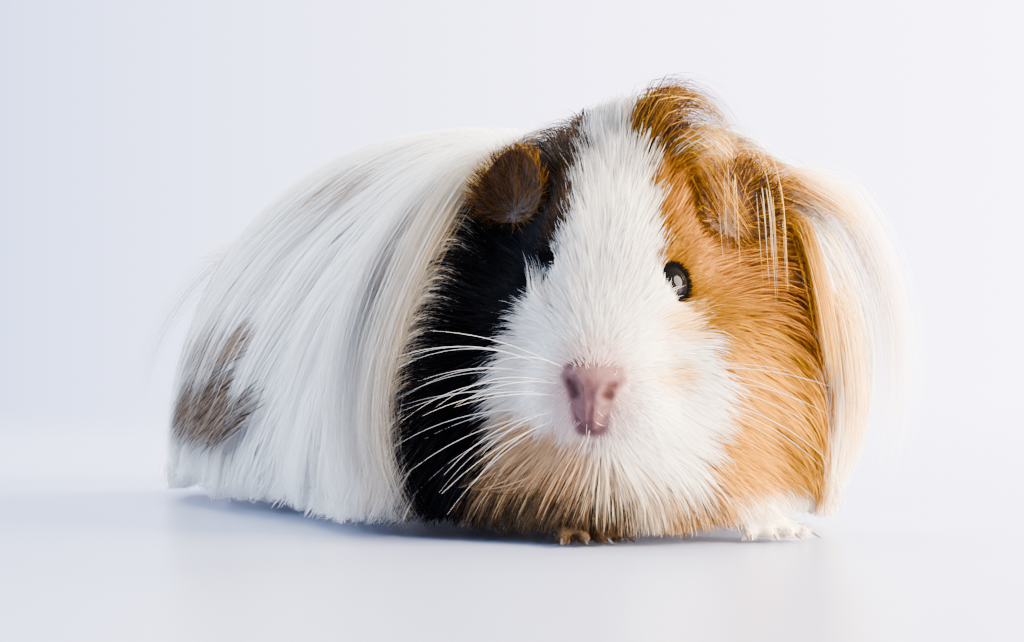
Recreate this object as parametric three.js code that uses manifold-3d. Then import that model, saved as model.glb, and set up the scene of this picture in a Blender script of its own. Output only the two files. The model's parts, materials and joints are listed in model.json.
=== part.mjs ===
// A long-haired guinea pig, life size, crouched like a loaf with its head turned to its right.
// Millimetres, +Z up, the head towards -Y. +X is the animal's left.
// The outline is that of the coat, out to the tips of the hair. It is one smooth form, built
// from named rounded masses, which thin cuts then part into head, neck, trunk and rump.
import * as THREE from "three";
import { mergeVertices } from "three/addons/utils/BufferGeometryUtils.js";
import Module from "manifold-3d";

const wasm = await Module();
wasm.setup();

// Driving dimensions.
const BACK_HEIGHT = 108; // top of the coat over the back
const COAT_HALF_WIDTH = 71; // half the width of the draped coat at mid-body
const EYE_HEIGHT = 62; // height of the line between the eyes
const HEAD_YAW = -34; // degrees, turned to the animal's right
const HEAD_ROLL = 4; // degrees, crown leaning to the animal's left
const FACE_SHIFT = -17; // middle of the face to the animal's right of the shoulders
const FACE_AHEAD = -23; // and ahead of them
const NOSE_REACH = 27.5; // nose tip ahead of the eyes
const NOSE_DROP = 26.5; // nose tip below the eyes
const EYE_SPREAD = 12.6; // eye centre from the middle of the face
const EYE_RADIUS = 5.8;
const EAR_SPREAD = 27.5; // ear centre from the middle of the head
const EAR_BACK = 18; // ear centre behind the eyes
const EAR_RISE = 21.5; // ear centre above the eyes
const GAP = 0.35; // clearance of a thin cut
const COAT_BLEND = 14; // how softly one mass of the coat runs into the next
const FACE_BLEND = 6; // the same on the face
const MEETING_BLEND = 8; // where the face runs into the coat
const CLAW_LENGTH = 3.4;
const CLAW_ROOT_RADIUS = 0.72;
const CLAW_TIP_RADIUS = 0.34;
const CLEAR = 1.5; // chest and rump stay this far off the floor; belly and feet carry the animal
const DEEP = 12; // how far a draped mass runs below the floor before it is cut level
const HEM_RISE = { from: 166, slope: 13 }; // behind the heels the coat's hem climbs at this angle

const radians = THREE.MathUtils.degToRad;
const vec = (x, y, z) => new THREE.Vector3(x, y, z);

// The head's own frame: origin between the eyes, x to its left, y backwards, z up.
const headFrame = new THREE.Matrix4()
  .makeRotationFromEuler(new THREE.Euler(0, radians(HEAD_ROLL), radians(HEAD_YAW), "ZYX"))
  .setPosition(FACE_SHIFT, FACE_AHEAD, EYE_HEIGHT);
const bodyFrame = new THREE.Matrix4();
const inHead = (x, y, z) => vec(x, y, z).applyMatrix4(headFrame);

// ---- masses -------------------------------------------------------------------------------

// One rounded mass of half sizes (a, b, c) about (x, y, z) in a frame: an ellipsoid, or a loaf
// that keeps its section further along y as the fullness rises above 2.
function mass(frame, [x, y, z], [a, b, c], fullness = 2) {
  const toMass = frame.clone().multiply(new THREE.Matrix4().makeTranslation(x, y, z)).invert();
  return { toMass, a, b, c, fullness };
}

// The same mass on both sides of the frame's middle plane.
const pair = (frame, [x, y, z], half) => [mass(frame, [x, y, z], half), mass(frame, [-x, y, z], half)];

// Balls from one point to another whose radius changes evenly: a tapering bridge of flesh.
function chain(frame, from, fromRadius, to, toRadius, balls) {
  return Array.from({ length: balls }, (_, i) => {
    const t = i / (balls - 1);
    const r = THREE.MathUtils.lerp(fromRadius, toRadius, t);
    return mass(frame, vec(...from).lerp(vec(...to), t).toArray(), [r, r, r]);
  });
}

// Domes stand on the floor plane, as a draped coat does.
const drapedCoat = [
  mass(bodyFrame, [4, 34, 0], [COAT_HALF_WIDTH - 1, 58, BACK_HEIGHT - 4]), // shoulders
  mass(bodyFrame, [-44, 26, 0], [33, 34, 78]), // curtain of hair down the right shoulder
  mass(bodyFrame, [0, 106, 0], [COAT_HALF_WIDTH - 1, 126, BACK_HEIGHT - 1], 2.8), // barrel and rump
  mass(bodyFrame, [-3, -17, 0], [45, 37, 35]), // chest
];
// The mane falls round the head as a broad egg, fuller on the outside of the turned neck.
const mane = [mass(headFrame, [6, 42, -22], [62, 34, 68])];
const skull = [
  ...chain(headFrame, [0, 14, 8], 23, [0, -8, -23], 15, 6), // the wedge of brow, temples and bridge
  mass(headFrame, [0, 26, 16], [25, 25, 34]), // crown
  ...pair(headFrame, [18, 14, -20], [21, 23, 23]), // cheeks
  ...pair(headFrame, [12, 8, -37], [16, 18, 12]), // jowls
];
const muzzle = [
  mass(headFrame, [0, -15, -25], [9, 8.5, 9]), // tip of the muzzle
  ...pair(headFrame, [9, -11.5, -29], [9, 10, 9]), // whisker pads
  mass(headFrame, [0, -11, -34.5], [8, 9.5, 5]), // upper lip
  mass(headFrame, [0, -6.5, -44.5], [10, 10.5, 6.5]), // chin
];
// The coat parts in front of each ear in a shallow hollow.
const hollows = pair(headFrame, [EAR_SPREAD + 4, EAR_BACK - 9, EAR_RISE], [12, 9, 9]);

// Distance to a mass along the ray from its middle, negative inside.
const local = new THREE.Vector3();
function distanceTo({ toMass, a, b, c, fullness }, p) {
  local.copy(p).applyMatrix4(toMass);
  const across = Math.hypot(local.x / a, local.z / c);
  const share = (across ** fullness + Math.abs(local.y / b) ** fullness) ** (1 / fullness);
  return share < 1e-6 ? -Math.min(a, b, c) : local.length() * (1 - 1 / share);
}

// Polynomial smooth minimum: joins two distances with a fillet of about the blend's size.
function smoothMin(a, b, blend) {
  const h = Math.max(blend - Math.abs(a - b), 0) / blend;
  return Math.min(a, b) - (h * h * blend) / 4;
}

const group = (masses, blend) => (p) =>
  masses.reduce((d, one) => smoothMin(d, distanceTo(one, p), blend), 1e3);
const faceForm = group([...skull, ...muzzle], FACE_BLEND);
const coatForm = group([...drapedCoat, ...mane], COAT_BLEND);
const hollowForm = group(hollows, 1);
const solidForm = (p) => smoothMin(faceForm(p), coatForm(p), MEETING_BLEND);
const wholeForm = (p) => -smoothMin(-solidForm(p), hollowForm(p), 3);

// ---- solids -------------------------------------------------------------------------------

// A closed three.js geometry as a manifold-3d solid.
function solid(geometry) {
  const bare = new THREE.BufferGeometry().setAttribute("position", geometry.getAttribute("position"));
  if (geometry.index) bare.setIndex(geometry.index);
  const merged = mergeVertices(bare, 1e-4);
  return new wasm.Manifold(
    new wasm.Mesh({
      numProp: 3,
      vertProperties: merged.attributes.position.array,
      triVerts: new Uint32Array(merged.index.array),
    }),
  );
}

// Turns every triangle round, as a mirrored shape needs.
function insideOut(geometry) {
  const { array } = geometry.index;
  for (let i = 0; i < array.length; i += 3) [array[i], array[i + 1]] = [array[i + 1], array[i]];
  return geometry;
}

// Shrink-wraps an icosphere onto a form: each point runs out from the middle until it leaves the form.
// A lean of less than 1 crowds the points towards one side.
function wrap(form, middle, reach, detail, grow = 0, lean = vec(0, 0, 0)) {
  const ball = new THREE.IcosahedronGeometry(1, detail);
  const points = ball.getAttribute("position");
  const p = new THREE.Vector3();
  const ray = new THREE.Vector3();
  for (let i = 0; i < points.count; i++) {
    ray.fromBufferAttribute(points, i).add(lean).normalize().multiply(reach);
    let inside = 0;
    let outside = 2.5;
    for (let step = 0; step < 30; step++) {
      const t = (inside + outside) / 2;
      p.copy(middle).addScaledVector(ray, t);
      if (form(p) < grow && p.z > -DEEP) inside = t;
      else outside = t;
    }
    p.copy(middle).addScaledVector(ray, inside);
    points.setXYZ(i, p.x, p.y, p.z);
  }
  return solid(ball);
}

const box = (size, centre) =>
  solid(new THREE.BoxGeometry(...size).applyMatrix4(new THREE.Matrix4().makeTranslation(...centre)));
const FAR = 600;
const underFloor = (level) => box([FAR, FAR, FAR], [0, 0, level - FAR / 2]);

// Everything under a floor that starts at a distance back and climbs from there.
function underSlope({ from, slope }, level) {
  const place = new THREE.Matrix4().makeRotationX(radians(slope)).setPosition(0, from, level);
  const slab = new THREE.BoxGeometry(FAR, FAR, FAR).translate(0, FAR / 2, -FAR / 2);
  return solid(slab.applyMatrix4(place));
}

// Everything on the far side of a plane through a point, with the normal turned about Z.
function behind(y, turn) {
  const place = new THREE.Matrix4().makeRotationZ(radians(turn)).setPosition(0, y, 0);
  const slab = new THREE.BoxGeometry(FAR, FAR, FAR).translate(0, FAR / 2, 0);
  return solid(slab.applyMatrix4(place));
}

function ball(frame, centre, half, detail) {
  const place = frame.clone().multiply(new THREE.Matrix4().makeTranslation(...centre));
  return solid(new THREE.IcosahedronGeometry(1, detail).scale(...half).applyMatrix4(place));
}

// A round limb from one point to another, with its own radius at each end.
const LIMB_FACETS = 6;
const TOE_FACETS = 5;
function limb(from, fromRadius, to, toRadius, facets = LIMB_FACETS) {
  const length = from.distanceTo(to);
  const profile = [
    arcPoint(fromRadius, -90, 0),
    arcPoint(fromRadius, -35, 0),
    arcPoint(toRadius, 35, length),
    arcPoint(toRadius, 90, length),
  ];
  const axis = vec(0, 1, 0);
  const turn = new THREE.Quaternion().setFromUnitVectors(axis, to.clone().sub(from).normalize());
  const shape = new THREE.LatheGeometry(profile, facets).applyQuaternion(turn);
  return solid(shape.translate(from.x, from.y, from.z));
}

function arcPoint(radius, degrees, height) {
  const across = Math.abs(degrees) === 90 ? 0 : radius * Math.cos(radians(degrees));
  return new THREE.Vector2(across, height + radius * Math.sin(radians(degrees)));
}

const join = (solids) => solids.reduce((sum, s) => sum.add(s));
const cut = (from, ...solids) => solids.reduce((rest, s) => rest.subtract(s), from);

// The largest piece: drops slivers that a cut may leave.
const largest = (made) =>
  made.decompose().reduce((best, s) => (s.volume() > best.volume() ? s : best));

// ---- feet and legs ------------------------------------------------------------------------

const SOLE = 0; // soles stand level on the floor
const sides = { left: 1, right: -1 };

// Where each foot stands: heel or wrist, ball of the foot, and how far the toes point outwards.
const forefeet = {
  left: { elbow: vec(36, 4, 21), wrist: vec(18, -31, 8), palm: vec(15, -42, 4.4), splay: -4 },
  right: { elbow: vec(-38, 12, 21), wrist: vec(-31, -24, 8), palm: vec(-31, -35, 4.4), splay: 8 },
};
const hindfeet = {
  left: { hip: vec(37, 150, 34), heel: vec(33, 166, 5.4), ball: vec(38, 136, 4.1), splay: 10 },
  right: { hip: vec(-37, 150, 34), heel: vec(-33, 166, 5.4), ball: vec(-38, 136, 4.1), splay: 10 },
};

// Toes fan out from the ball of the foot, each a short limb that points forwards and a little down.
function toes(root, count, length, radius, side, splay, fan) {
  return Array.from({ length: count }, (_, i) => {
    const share = count === 1 ? 0 : i / (count - 1) - 0.5;
    const heading = radians(-90 + side * splay + share * fan);
    const ahead = vec(Math.cos(heading), Math.sin(heading), 0);
    const start = root.clone().add(vec(share * radius * 4, 0, -0.6));
    const reach = length * (1 - 0.5 * share * share);
    const tip = start.clone().addScaledVector(ahead, reach).setZ(radius * 0.75);
    return { start, tip, ahead, radius };
  });
}

// Grown toes are the room that toes and claws need in the coat above them.
const toeSolids = (list, grow) =>
  list.map(({ start, radius, tip }) => {
    const length = start.distanceTo(tip);
    const stretch = grow ? (length + radius + CLAW_LENGTH) / length : 1;
    return limb(start, radius + grow, start.clone().lerp(tip, stretch), radius + grow, TOE_FACETS);
  });

function foreleg(side, grow = 0) {
  const { elbow, wrist, palm, splay } = forefeet[side];
  const digits = toes(palm, 4, 7.5, 2.5, sides[side], splay, 40);
  const made = join([
    limb(elbow, 11 + grow, wrist, 6 + grow),
    limb(wrist, 6 + grow, palm, 5.6 + grow),
    ...toeSolids(digits, grow),
  ]);
  return { made, digits };
}

function hindleg(side, grow = 0) {
  const { hip, heel, ball: pad, splay } = hindfeet[side];
  const knee = hip.clone().add(vec(6 * sides[side], -30, -12));
  const digits = toes(pad, 3, 9.5, 2.8, sides[side], splay, 30);
  const made = join([
    limb(hip, 20 + grow, knee, 13 + grow),
    limb(knee, 10 + grow, heel, 6.5 + grow),
    limb(heel, 6.5 + grow, pad, 5.2 + grow),
    ...toeSolids(digits, grow),
  ]);
  return { made, digits };
}

// A claw is a small tapering horn just ahead of its toe.
function claw({ tip, ahead, radius }) {
  const root = tip.clone().addScaledVector(ahead, radius + GAP + CLAW_ROOT_RADIUS).setZ(radius * 0.68);
  const point = root.clone().addScaledVector(ahead, CLAW_LENGTH - 1).setZ(0.85);
  return limb(root, CLAW_ROOT_RADIUS, point, CLAW_TIP_RADIUS, TOE_FACETS);
}

// ---- eyes and ears ------------------------------------------------------------------------

const eye = (side, grow, detail) => {
  const r = EYE_RADIUS + grow;
  return ball(headFrame, [sides[side] * EYE_SPREAD, 0, 0], [r, r, r], detail);
};

// An ear is a thin petal that faces forwards and outwards: a flattened ball cupped into a bowl,
// with a round top, a lobe that hangs outwards and a shallow notch between them.
function ear(side, grow = 0) {
  const EAR_WIDE = 10.5;
  const EAR_TALL = 9.6;
  const EAR_THICK = 0.8;
  const CUP = 4.5;
  const LOBE_ANGLE = radians(-22);
  const shape = new THREE.SphereGeometry(1, 15, 9).rotateX(Math.PI / 2);
  const points = shape.getAttribute("position");
  for (let i = 0; i < points.count; i++) {
    const [x, y, z] = [points.getX(i), points.getY(i), points.getZ(i)];
    const out = Math.min(1, Math.hypot(x, y));
    const spread = out > 0 ? Math.sqrt(out) / out : 0; // packs rings towards the rim
    const [u, v] = [x * spread, y * spread];
    const petal = 1 + 0.09 * Math.cos(3 * (Math.atan2(v, u) - LOBE_ANGLE));
    const across = u * (EAR_WIDE + grow) * petal;
    const up = v * (EAR_TALL + grow) * petal;
    const [acrossShare, upShare] = [across / EAR_WIDE, up / EAR_TALL];
    const cup = CUP * (acrossShare ** 2 + 0.6 * upShare ** 2 - 0.33 * acrossShare);
    const thick = (EAR_THICK * Math.sqrt(Math.abs(z)) + grow) * Math.sign(z);
    points.setXYZ(i, across, up, thick + cup);
  }
  const facing = vec(0.36, -0.92, 0.1).normalize();
  const outwards = vec(0.92, 0.36, -0.12).normalize();
  const upwards = vec(0, 0, 0).crossVectors(facing, outwards).normalize();
  outwards.crossVectors(upwards, facing);
  const mirror = new THREE.Matrix4().makeScale(sides[side], 1, 1);
  const stand = new THREE.Matrix4().makeBasis(outwards, upwards, facing);
  stand.setPosition(EAR_SPREAD, EAR_BACK, EAR_RISE);
  shape.applyMatrix4(headFrame.clone().multiply(mirror).multiply(stand));
  return side === "right" ? solid(insideOut(shape)) : solid(shape);
}

// ---- the whole, parted --------------------------------------------------------------------

const HEAD_DETAIL = 9;
const BODY_DETAIL = 7;
const NECK_CUT = { y: 40, turn: -12 };
const RUMP_CUT = { y: 148, turn: 0 };
const headMiddle = inHead(0, 10, -16);
const facing = inHead(0, -0.55, -0.12).sub(inHead(0, 0, 0)); // crowds the head's points on the face
const headBall = (grow) => ball(headFrame, [0, 4, -4], [40 + grow, 46 + grow, 49 + grow], 3);
const faceWrap = (grow) => wrap(wholeForm, headMiddle, vec(40, 40, 44), HEAD_DETAIL, grow, facing);

// The nose is a bare pad that narrows down to the cleft lip, with a nostril on each side.
const noseForm = group(
  [
    mass(headFrame, [0, -NOSE_REACH + 7, -NOSE_DROP + 2.5], [8, 7, 5.5]),
    mass(headFrame, [0, -NOSE_REACH + 8, -NOSE_DROP - 3], [5, 6.8, 4.5]),
    mass(headFrame, [0, -NOSE_REACH + 9.5, -NOSE_DROP - 7], [3.2, 7, 3.5]),
  ],
  2,
);
const nosePad = (grow) => wrap(noseForm, inHead(0, -19, -26), vec(9, 9, 9), 3, grow);
const nostrils = [1, -1].map((side) =>
  ball(headFrame, [side * 5, -NOSE_REACH + 1.2, -NOSE_DROP + 2], [1.7, 2.4, 1.1], 1),
);
const mouth = ball(headFrame, [0, -13, -39.5], [7.5, 12, 0.8], 1);
const lidOpenings = Object.values(sides).map((side) =>
  ball(headFrame, [side * (EYE_SPREAD + 3.6), -3.6, 0.4], [5.2, 5.2, 5.2], 2),
);

const forelegs = { left: foreleg("left"), right: foreleg("right") };
const hindlegs = { left: hindleg("left"), right: hindleg("right") };
const legRoom = join([
  foreleg("left", GAP).made,
  foreleg("right", GAP).made,
  hindleg("left", GAP).made,
  hindleg("right", GAP).made,
]);
const socketRoom = join([eye("left", GAP, 2), eye("right", GAP, 2)]);

const body = wrap(wholeForm, vec(0, 88, 34), vec(62, 120, 76), BODY_DETAIL);
const frontHalf = cut(body, behind(NECK_CUT.y, NECK_CUT.turn));
const backHalf = body.intersect(behind(NECK_CUT.y + GAP, NECK_CUT.turn));

const nose = cut(nosePad(0), ...nostrils);
const earRoom = join([ear("left", GAP), ear("right", GAP)]);
const face = cut(faceWrap(0).intersect(headBall(0)), mouth, socketRoom, ...lidOpenings);
const head = cut(face, nosePad(GAP), earRoom, legRoom);
const neck = cut(frontHalf, headBall(GAP), earRoom, legRoom, underFloor(CLEAR));
const trunk = cut(backHalf, behind(RUMP_CUT.y, RUMP_CUT.turn), legRoom, underFloor(SOLE));
const hem = underFloor(CLEAR).add(underSlope(HEM_RISE, CLEAR));
const rump = cut(body.intersect(behind(RUMP_CUT.y + GAP, RUMP_CUT.turn)), legRoom, hem);

// ---- materials and nodes ------------------------------------------------------------------

const finish = (color, roughness) => new THREE.MeshStandardMaterial({ color, roughness, metalness: 0 });
const whiteCoat = finish(0xf0ece6, 0.8);
const faceCoat = finish(0xe8ddd0, 0.8);
const pinkNose = finish(0xb98f8f, 0.5);
const darkEar = finish(0x4a3428, 0.75);
const eyeGloss = finish(0x120c0a, 0.08);
const hornClaw = finish(0xcbb8a4, 0.45);

const guineaPig = new THREE.Group();

function place(name, made, material) {
  const { vertProperties, triVerts, numProp, numVert } = largest(made).getMesh();
  const xyz = new Float32Array(numVert * 3);
  for (let i = 0; i < numVert; i++) {
    xyz.set(vertProperties.subarray(i * numProp, i * numProp + 3), i * 3);
  }
  const geometry = new THREE.BufferGeometry()
    .setAttribute("position", new THREE.BufferAttribute(xyz, 3))
    .setIndex(new THREE.BufferAttribute(triVerts, 1));
  const mesh = new THREE.Mesh(geometry, material);
  mesh.name = name;
  guineaPig.add(mesh);
}

place("head", head, faceCoat);
place("nose", nose, pinkNose);
place("neck", neck, whiteCoat);
place("trunk", trunk, whiteCoat);
place("rump", rump, whiteCoat);
for (const side of Object.keys(sides)) {
  place(`${side}_eye`, eye(side, 0, 2), eyeGloss);
  place(`${side}_ear`, ear(side), darkEar);
  const level = underFloor(SOLE);
  place(`${side}_foreleg`, cut(forelegs[side].made, level), whiteCoat);
  place(`${side}_hindleg`, cut(hindlegs[side].made, level), whiteCoat);
  forelegs[side].digits.forEach((toe, i) => place(`${side}_fore_claw_${i + 1}`, claw(toe), hornClaw));
  hindlegs[side].digits.forEach((toe, i) => place(`${side}_hind_claw_${i + 1}`, claw(toe), hornClaw));
}

// The frame's origin is under the middle of the whole animal, on the floor.
const extent = new THREE.Box3().setFromObject(guineaPig);
const middle = extent.getCenter(new THREE.Vector3());
guineaPig.position.set(-middle.x, -middle.y, -extent.min.z);

export default guineaPig;
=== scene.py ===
# %% [markdown]
# # A long-haired guinea pig
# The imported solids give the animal's true outline, out to the tips of its coat. They are loaded as a
# fixed frame, and every place below is worked out from them. The looks are then built in the order in
# which a model maker would build them: skin, eyes, ears, claws, whiskers, and last the coat.

# %% Load the frame
import json
import math

import bmesh
import bpy
import numpy as np
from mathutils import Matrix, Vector
from mathutils.bvhtree import BVHTree
from mathutils.kdtree import KDTree

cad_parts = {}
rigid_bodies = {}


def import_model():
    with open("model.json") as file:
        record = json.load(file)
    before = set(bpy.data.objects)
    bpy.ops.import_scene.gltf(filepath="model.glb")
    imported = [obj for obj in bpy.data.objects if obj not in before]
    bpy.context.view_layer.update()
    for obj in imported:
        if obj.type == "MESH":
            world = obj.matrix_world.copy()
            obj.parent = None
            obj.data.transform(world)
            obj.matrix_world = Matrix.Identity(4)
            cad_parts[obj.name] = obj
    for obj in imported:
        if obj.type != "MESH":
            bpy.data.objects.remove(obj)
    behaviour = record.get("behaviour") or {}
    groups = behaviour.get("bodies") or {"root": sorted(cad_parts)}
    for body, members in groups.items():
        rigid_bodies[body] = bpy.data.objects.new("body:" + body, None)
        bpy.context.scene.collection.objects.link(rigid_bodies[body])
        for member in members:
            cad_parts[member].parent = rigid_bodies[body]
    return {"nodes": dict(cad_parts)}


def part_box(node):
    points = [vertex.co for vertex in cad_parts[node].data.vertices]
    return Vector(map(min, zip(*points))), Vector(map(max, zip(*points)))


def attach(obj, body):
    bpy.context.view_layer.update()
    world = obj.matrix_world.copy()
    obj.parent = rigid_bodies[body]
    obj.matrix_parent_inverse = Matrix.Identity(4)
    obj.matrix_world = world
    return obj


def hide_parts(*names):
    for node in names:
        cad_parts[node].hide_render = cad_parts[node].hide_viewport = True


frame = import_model()
bpy.ops.object.select_all(action="DESELECT")
NODES = frame["nodes"]
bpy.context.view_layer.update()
MM = 0.001

# %% [markdown]
# The head is turned away from the body, so the face is far easier to describe in axes of its own:
# x to the animal's left, y backwards and z up, from a point midway between the eyes. The two
# eyeballs of the frame give that point and the tilt of the head. Arrays of points are kept in
# millimetres, the size of number that a ruler gives, and turned into metres when a mesh is written.

# %% The head's own axes
def middle(node):
    low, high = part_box(node)
    return np.array((low + high) / 2) / MM


def unit(vectors):
    return vectors / np.maximum(np.linalg.norm(vectors, axis=-1, keepdims=True), 1e-9)


FACE = (middle("left_eye") + middle("right_eye")) / 2
LEFTWARDS = unit(middle("left_eye") - middle("right_eye"))
BACKWARDS = unit(np.cross((0, 0, 1), LEFTWARDS))
HEAD_AXES = np.array([LEFTWARDS, BACKWARDS, np.cross(LEFTWARDS, BACKWARDS)])
EYE_SPREAD = np.linalg.norm(middle("left_eye") - middle("right_eye")) / 2
EYE_RADIUS = (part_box("left_eye")[1].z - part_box("left_eye")[0].z) / 2 / MM


def to_head(points):
    return (points - FACE) @ HEAD_AXES.T


def from_head(points):
    return np.asarray(points, float) @ HEAD_AXES + FACE


def head_vector(vector):
    return np.asarray(vector, float) @ HEAD_AXES


print("face at", FACE.round(1), "with the eyes", round(EYE_SPREAD, 1), "mm to each side")

# %% [markdown]
# The camera stands low, level with the nose, and looks at the animal from its front right. A long
# lens from three quarters of a metre keeps the near nose from looking too large.

# %% Camera
VIEW_TURN = math.radians(-25)
VIEW_DROP = math.radians(0.18)
RIGHT_OF_VIEW = np.array([math.cos(VIEW_TURN), math.sin(VIEW_TURN), 0])
INTO_VIEW = np.array([-math.sin(VIEW_TURN), math.cos(VIEW_TURN), 0])
CAMERA_DISTANCE = 732
CAMERA_ASIDE = 24.3
CAMERA_HEIGHT = 55
LENS = 105.8
SENSOR_WIDTH = 36


def add_camera():
    place = FACE - INTO_VIEW * CAMERA_DISTANCE - RIGHT_OF_VIEW * CAMERA_ASIDE
    place[2] = CAMERA_HEIGHT
    bpy.ops.object.camera_add(location=place * MM, rotation=(math.pi / 2 - VIEW_DROP, 0, VIEW_TURN))
    camera = bpy.context.object
    camera.data.lens = LENS
    camera.data.sensor_width = SENSOR_WIDTH
    bpy.context.scene.camera = camera
    return camera


print("camera at", [round(v, 3) for v in add_camera().location])

# %% [markdown]
# Shader maths reads best as plain arithmetic, so a small class wraps a number socket and turns each
# operator into a Math node.

# %% Arithmetic on sockets
class Value:
    """A number socket that can be added to and scaled."""

    def __init__(self, finish, socket):
        self.finish, self.socket = finish, socket

    def maths(self, operation, *values, clamp=False):
        settings = {"operation": operation, "use_clamp": clamp}
        made = self.finish.node("ShaderNodeMath", settings, dict(enumerate(values)))
        return Value(self.finish, made.outputs[0])

    def __add__(self, other):
        return self.maths("ADD", self, other)

    __radd__ = __add__

    def __sub__(self, other):
        return self.maths("SUBTRACT", self, other)

    def __rsub__(self, other):
        return self.maths("SUBTRACT", other, self)

    def __mul__(self, other):
        return self.maths("MULTIPLY", self, other)

    __rmul__ = __mul__

    def between(self, low, high):
        """0 at low and 1 at high, held at both ends."""
        return self.maths("MULTIPLY", self - low, 1 / (high - low), clamp=True)


print("sockets can be added, subtracted and scaled")

# %% [markdown]
# A finish is a material under construction. One method adds a node of any kind: its settings first,
# then the values or links of its sockets. The others add the few kinds that this animal needs.

# %% Finishes
class Finish:
    """A material under construction."""

    def __init__(self, name):
        self.material = bpy.data.materials.new(name)
        self.material.use_nodes = True
        self.tree = self.material.node_tree
        self.tree.nodes.clear()
        self.output = self.node("ShaderNodeOutputMaterial")
        self.place = self.node("ShaderNodeTexCoord").outputs["Object"]

    def node(self, kind, settings=(), inputs=()):
        made = self.tree.nodes.new(kind)
        for name, value in dict(settings).items():
            setattr(made, name, value)
        for name, value in dict(inputs).items():
            value = getattr(value, "socket", value)
            if isinstance(value, bpy.types.NodeSocket):
                self.tree.links.new(value, made.inputs[name])
            else:
                made.inputs[name].default_value = value
        return made

    def attribute(self, name, output="Fac"):
        socket = self.node("ShaderNodeAttribute", {"attribute_name": name}).outputs[output]
        return Value(self, socket) if output == "Fac" else socket

    def noise(self, scale, detail):
        inputs = {"Vector": self.place, "Scale": scale, "Detail": detail}
        return Value(self, self.node("ShaderNodeTexNoise", (), inputs).outputs["Fac"])

    def mix(self, share, first, second, blend="MIX"):
        settings = {"data_type": "RGBA", "blend_type": blend}
        first, second = (c if isinstance(c, bpy.types.NodeSocket) else (*c, 1) for c in (first, second))
        return self.node("ShaderNodeMix", settings, {0: share, 6: first, 7: second}).outputs[2]

    def bump(self, height, strength, distance):
        inputs = {"Height": height, "Strength": strength, "Distance": distance}
        return self.node("ShaderNodeBump", (), inputs).outputs["Normal"]

    def surface(self, **inputs):
        named = {name.replace("_", " "): value for name, value in inputs.items()}
        return self.node("ShaderNodeBsdfPrincipled", (), named).outputs["BSDF"]

    def blend(self, share, first, second):
        return self.node("ShaderNodeMixShader", (), {0: share, 1: first, 2: second}).outputs[0]

    def done(self, shader):
        self.tree.links.new(shader, self.output.inputs["Surface"])
        return self.material


print("finishes can be made")

# %% [markdown]
# The setting is a plain pale studio: a slightly glossy floor that turns clear towards its rim, so that
# no hard line crosses the view, and a bright backdrop that shades from cool to warm. The backdrop
# glows, because a lit one would need lights of its own.

# %% Floor and backdrop
FLOOR_RADIUS = 1
FLOOR_COLOUR = (0.28, 0.31, 0.45, 1)
BACKDROP_COOL = (1.35, 1.9, 3.5)
BACKDROP_WARM = (7.6, 7.0, 9.2)
BACKDROP_DISTANCE = 1.9
BACKDROP_HEIGHT = 0.2
BACKDROP_SIZE = (2.6, 1.6, 1)
WARMTH_SPREAD = (-0.55, 0.5)
FLOOR_LEVEL = -0.0004
FLOOR_FADE = (0.5, 0.95)


def pale_floor():
    finish = Finish("pale floor")
    length = finish.node("ShaderNodeVectorMath", {"operation": "LENGTH"}, {0: finish.place})
    clear = 1 - Value(finish, length.outputs["Value"]).between(*FLOOR_FADE)
    return finish.done(finish.surface(Base_Color=FLOOR_COLOUR, Roughness=0.26, Alpha=clear, IOR=1.4))


def bright_backdrop():
    finish = Finish("bright backdrop")
    parts = finish.node("ShaderNodeSeparateXYZ", (), {0: finish.place})
    warmth = Value(finish, parts.outputs["X"]).between(*WARMTH_SPREAD)
    glow = finish.mix(warmth, BACKDROP_COOL, BACKDROP_WARM)
    return finish.done(finish.surface(Base_Color=(0, 0, 0, 1), Roughness=1, Specular_IOR_Level=0,
                                      Emission_Color=glow, Emission_Strength=1))


def add_backdrop():
    place = INTO_VIEW * BACKDROP_DISTANCE
    bpy.ops.mesh.primitive_plane_add(size=1, location=(place[0], place[1], BACKDROP_HEIGHT),
                                     rotation=(math.pi / 2, 0, VIEW_TURN))
    backdrop = bpy.context.object
    backdrop.name = "backdrop"
    backdrop.scale = BACKDROP_SIZE
    bpy.ops.object.transform_apply(location=False, rotation=False, scale=True)
    backdrop.data.materials.append(bright_backdrop())


def add_floor():
    bpy.ops.mesh.primitive_circle_add(vertices=96, radius=FLOOR_RADIUS, fill_type="NGON",
                                      location=(0, 0, FLOOR_LEVEL))
    floor = bpy.context.object
    floor.name = "floor"
    floor.data.materials.append(pale_floor())
    bpy.ops.object.transform_apply(location=True)


add_floor()
add_backdrop()
print("stage: a floor", 2 * FLOOR_RADIUS, "m across and a backdrop of", BACKDROP_SIZE[:2], "m")

# %% [markdown]
# A strong warm light stands at the front right like a window, and a small one behind it rims the
# coat. The animal's other side is lit by a wide cool light alone, and so stays in soft blue shade.
# Large round lights give the soft edges of daylight.

# %% Sky and lights
SKY_COLOUR = (0.86, 0.93, 1.0, 1)
SKY_STRENGTH = 0.16
LIT_PLACE = Vector((0, -0.03, 0.05))
# Each light has its place, size, power and colour.
LIGHTS = {
    "window light": ((0.80, -0.80, 0.45), 1.0, 265, (1, 0.83, 0.64)),
    "rim light": ((1.0, 0.3, 0.45), 0.7, 150, (1, 0.90, 0.80)),
    "cool side light": ((-0.9, 0.6, 0.5), 0.9, 56, (0.60, 0.76, 1)),
    "top light": ((0.15, 0.5, 1.1), 0.9, 60, (0.95, 0.97, 1)),
}


def add_light(name, place, size, power, colour):
    bpy.ops.object.light_add(type="AREA", location=place)
    light = bpy.context.object
    light.name = name
    light.data.shape = "DISK"
    light.data.size = size
    light.data.energy = power
    light.data.color = colour
    light.rotation_euler = (LIT_PLACE - Vector(place)).to_track_quat("-Z", "Y").to_euler()


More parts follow.
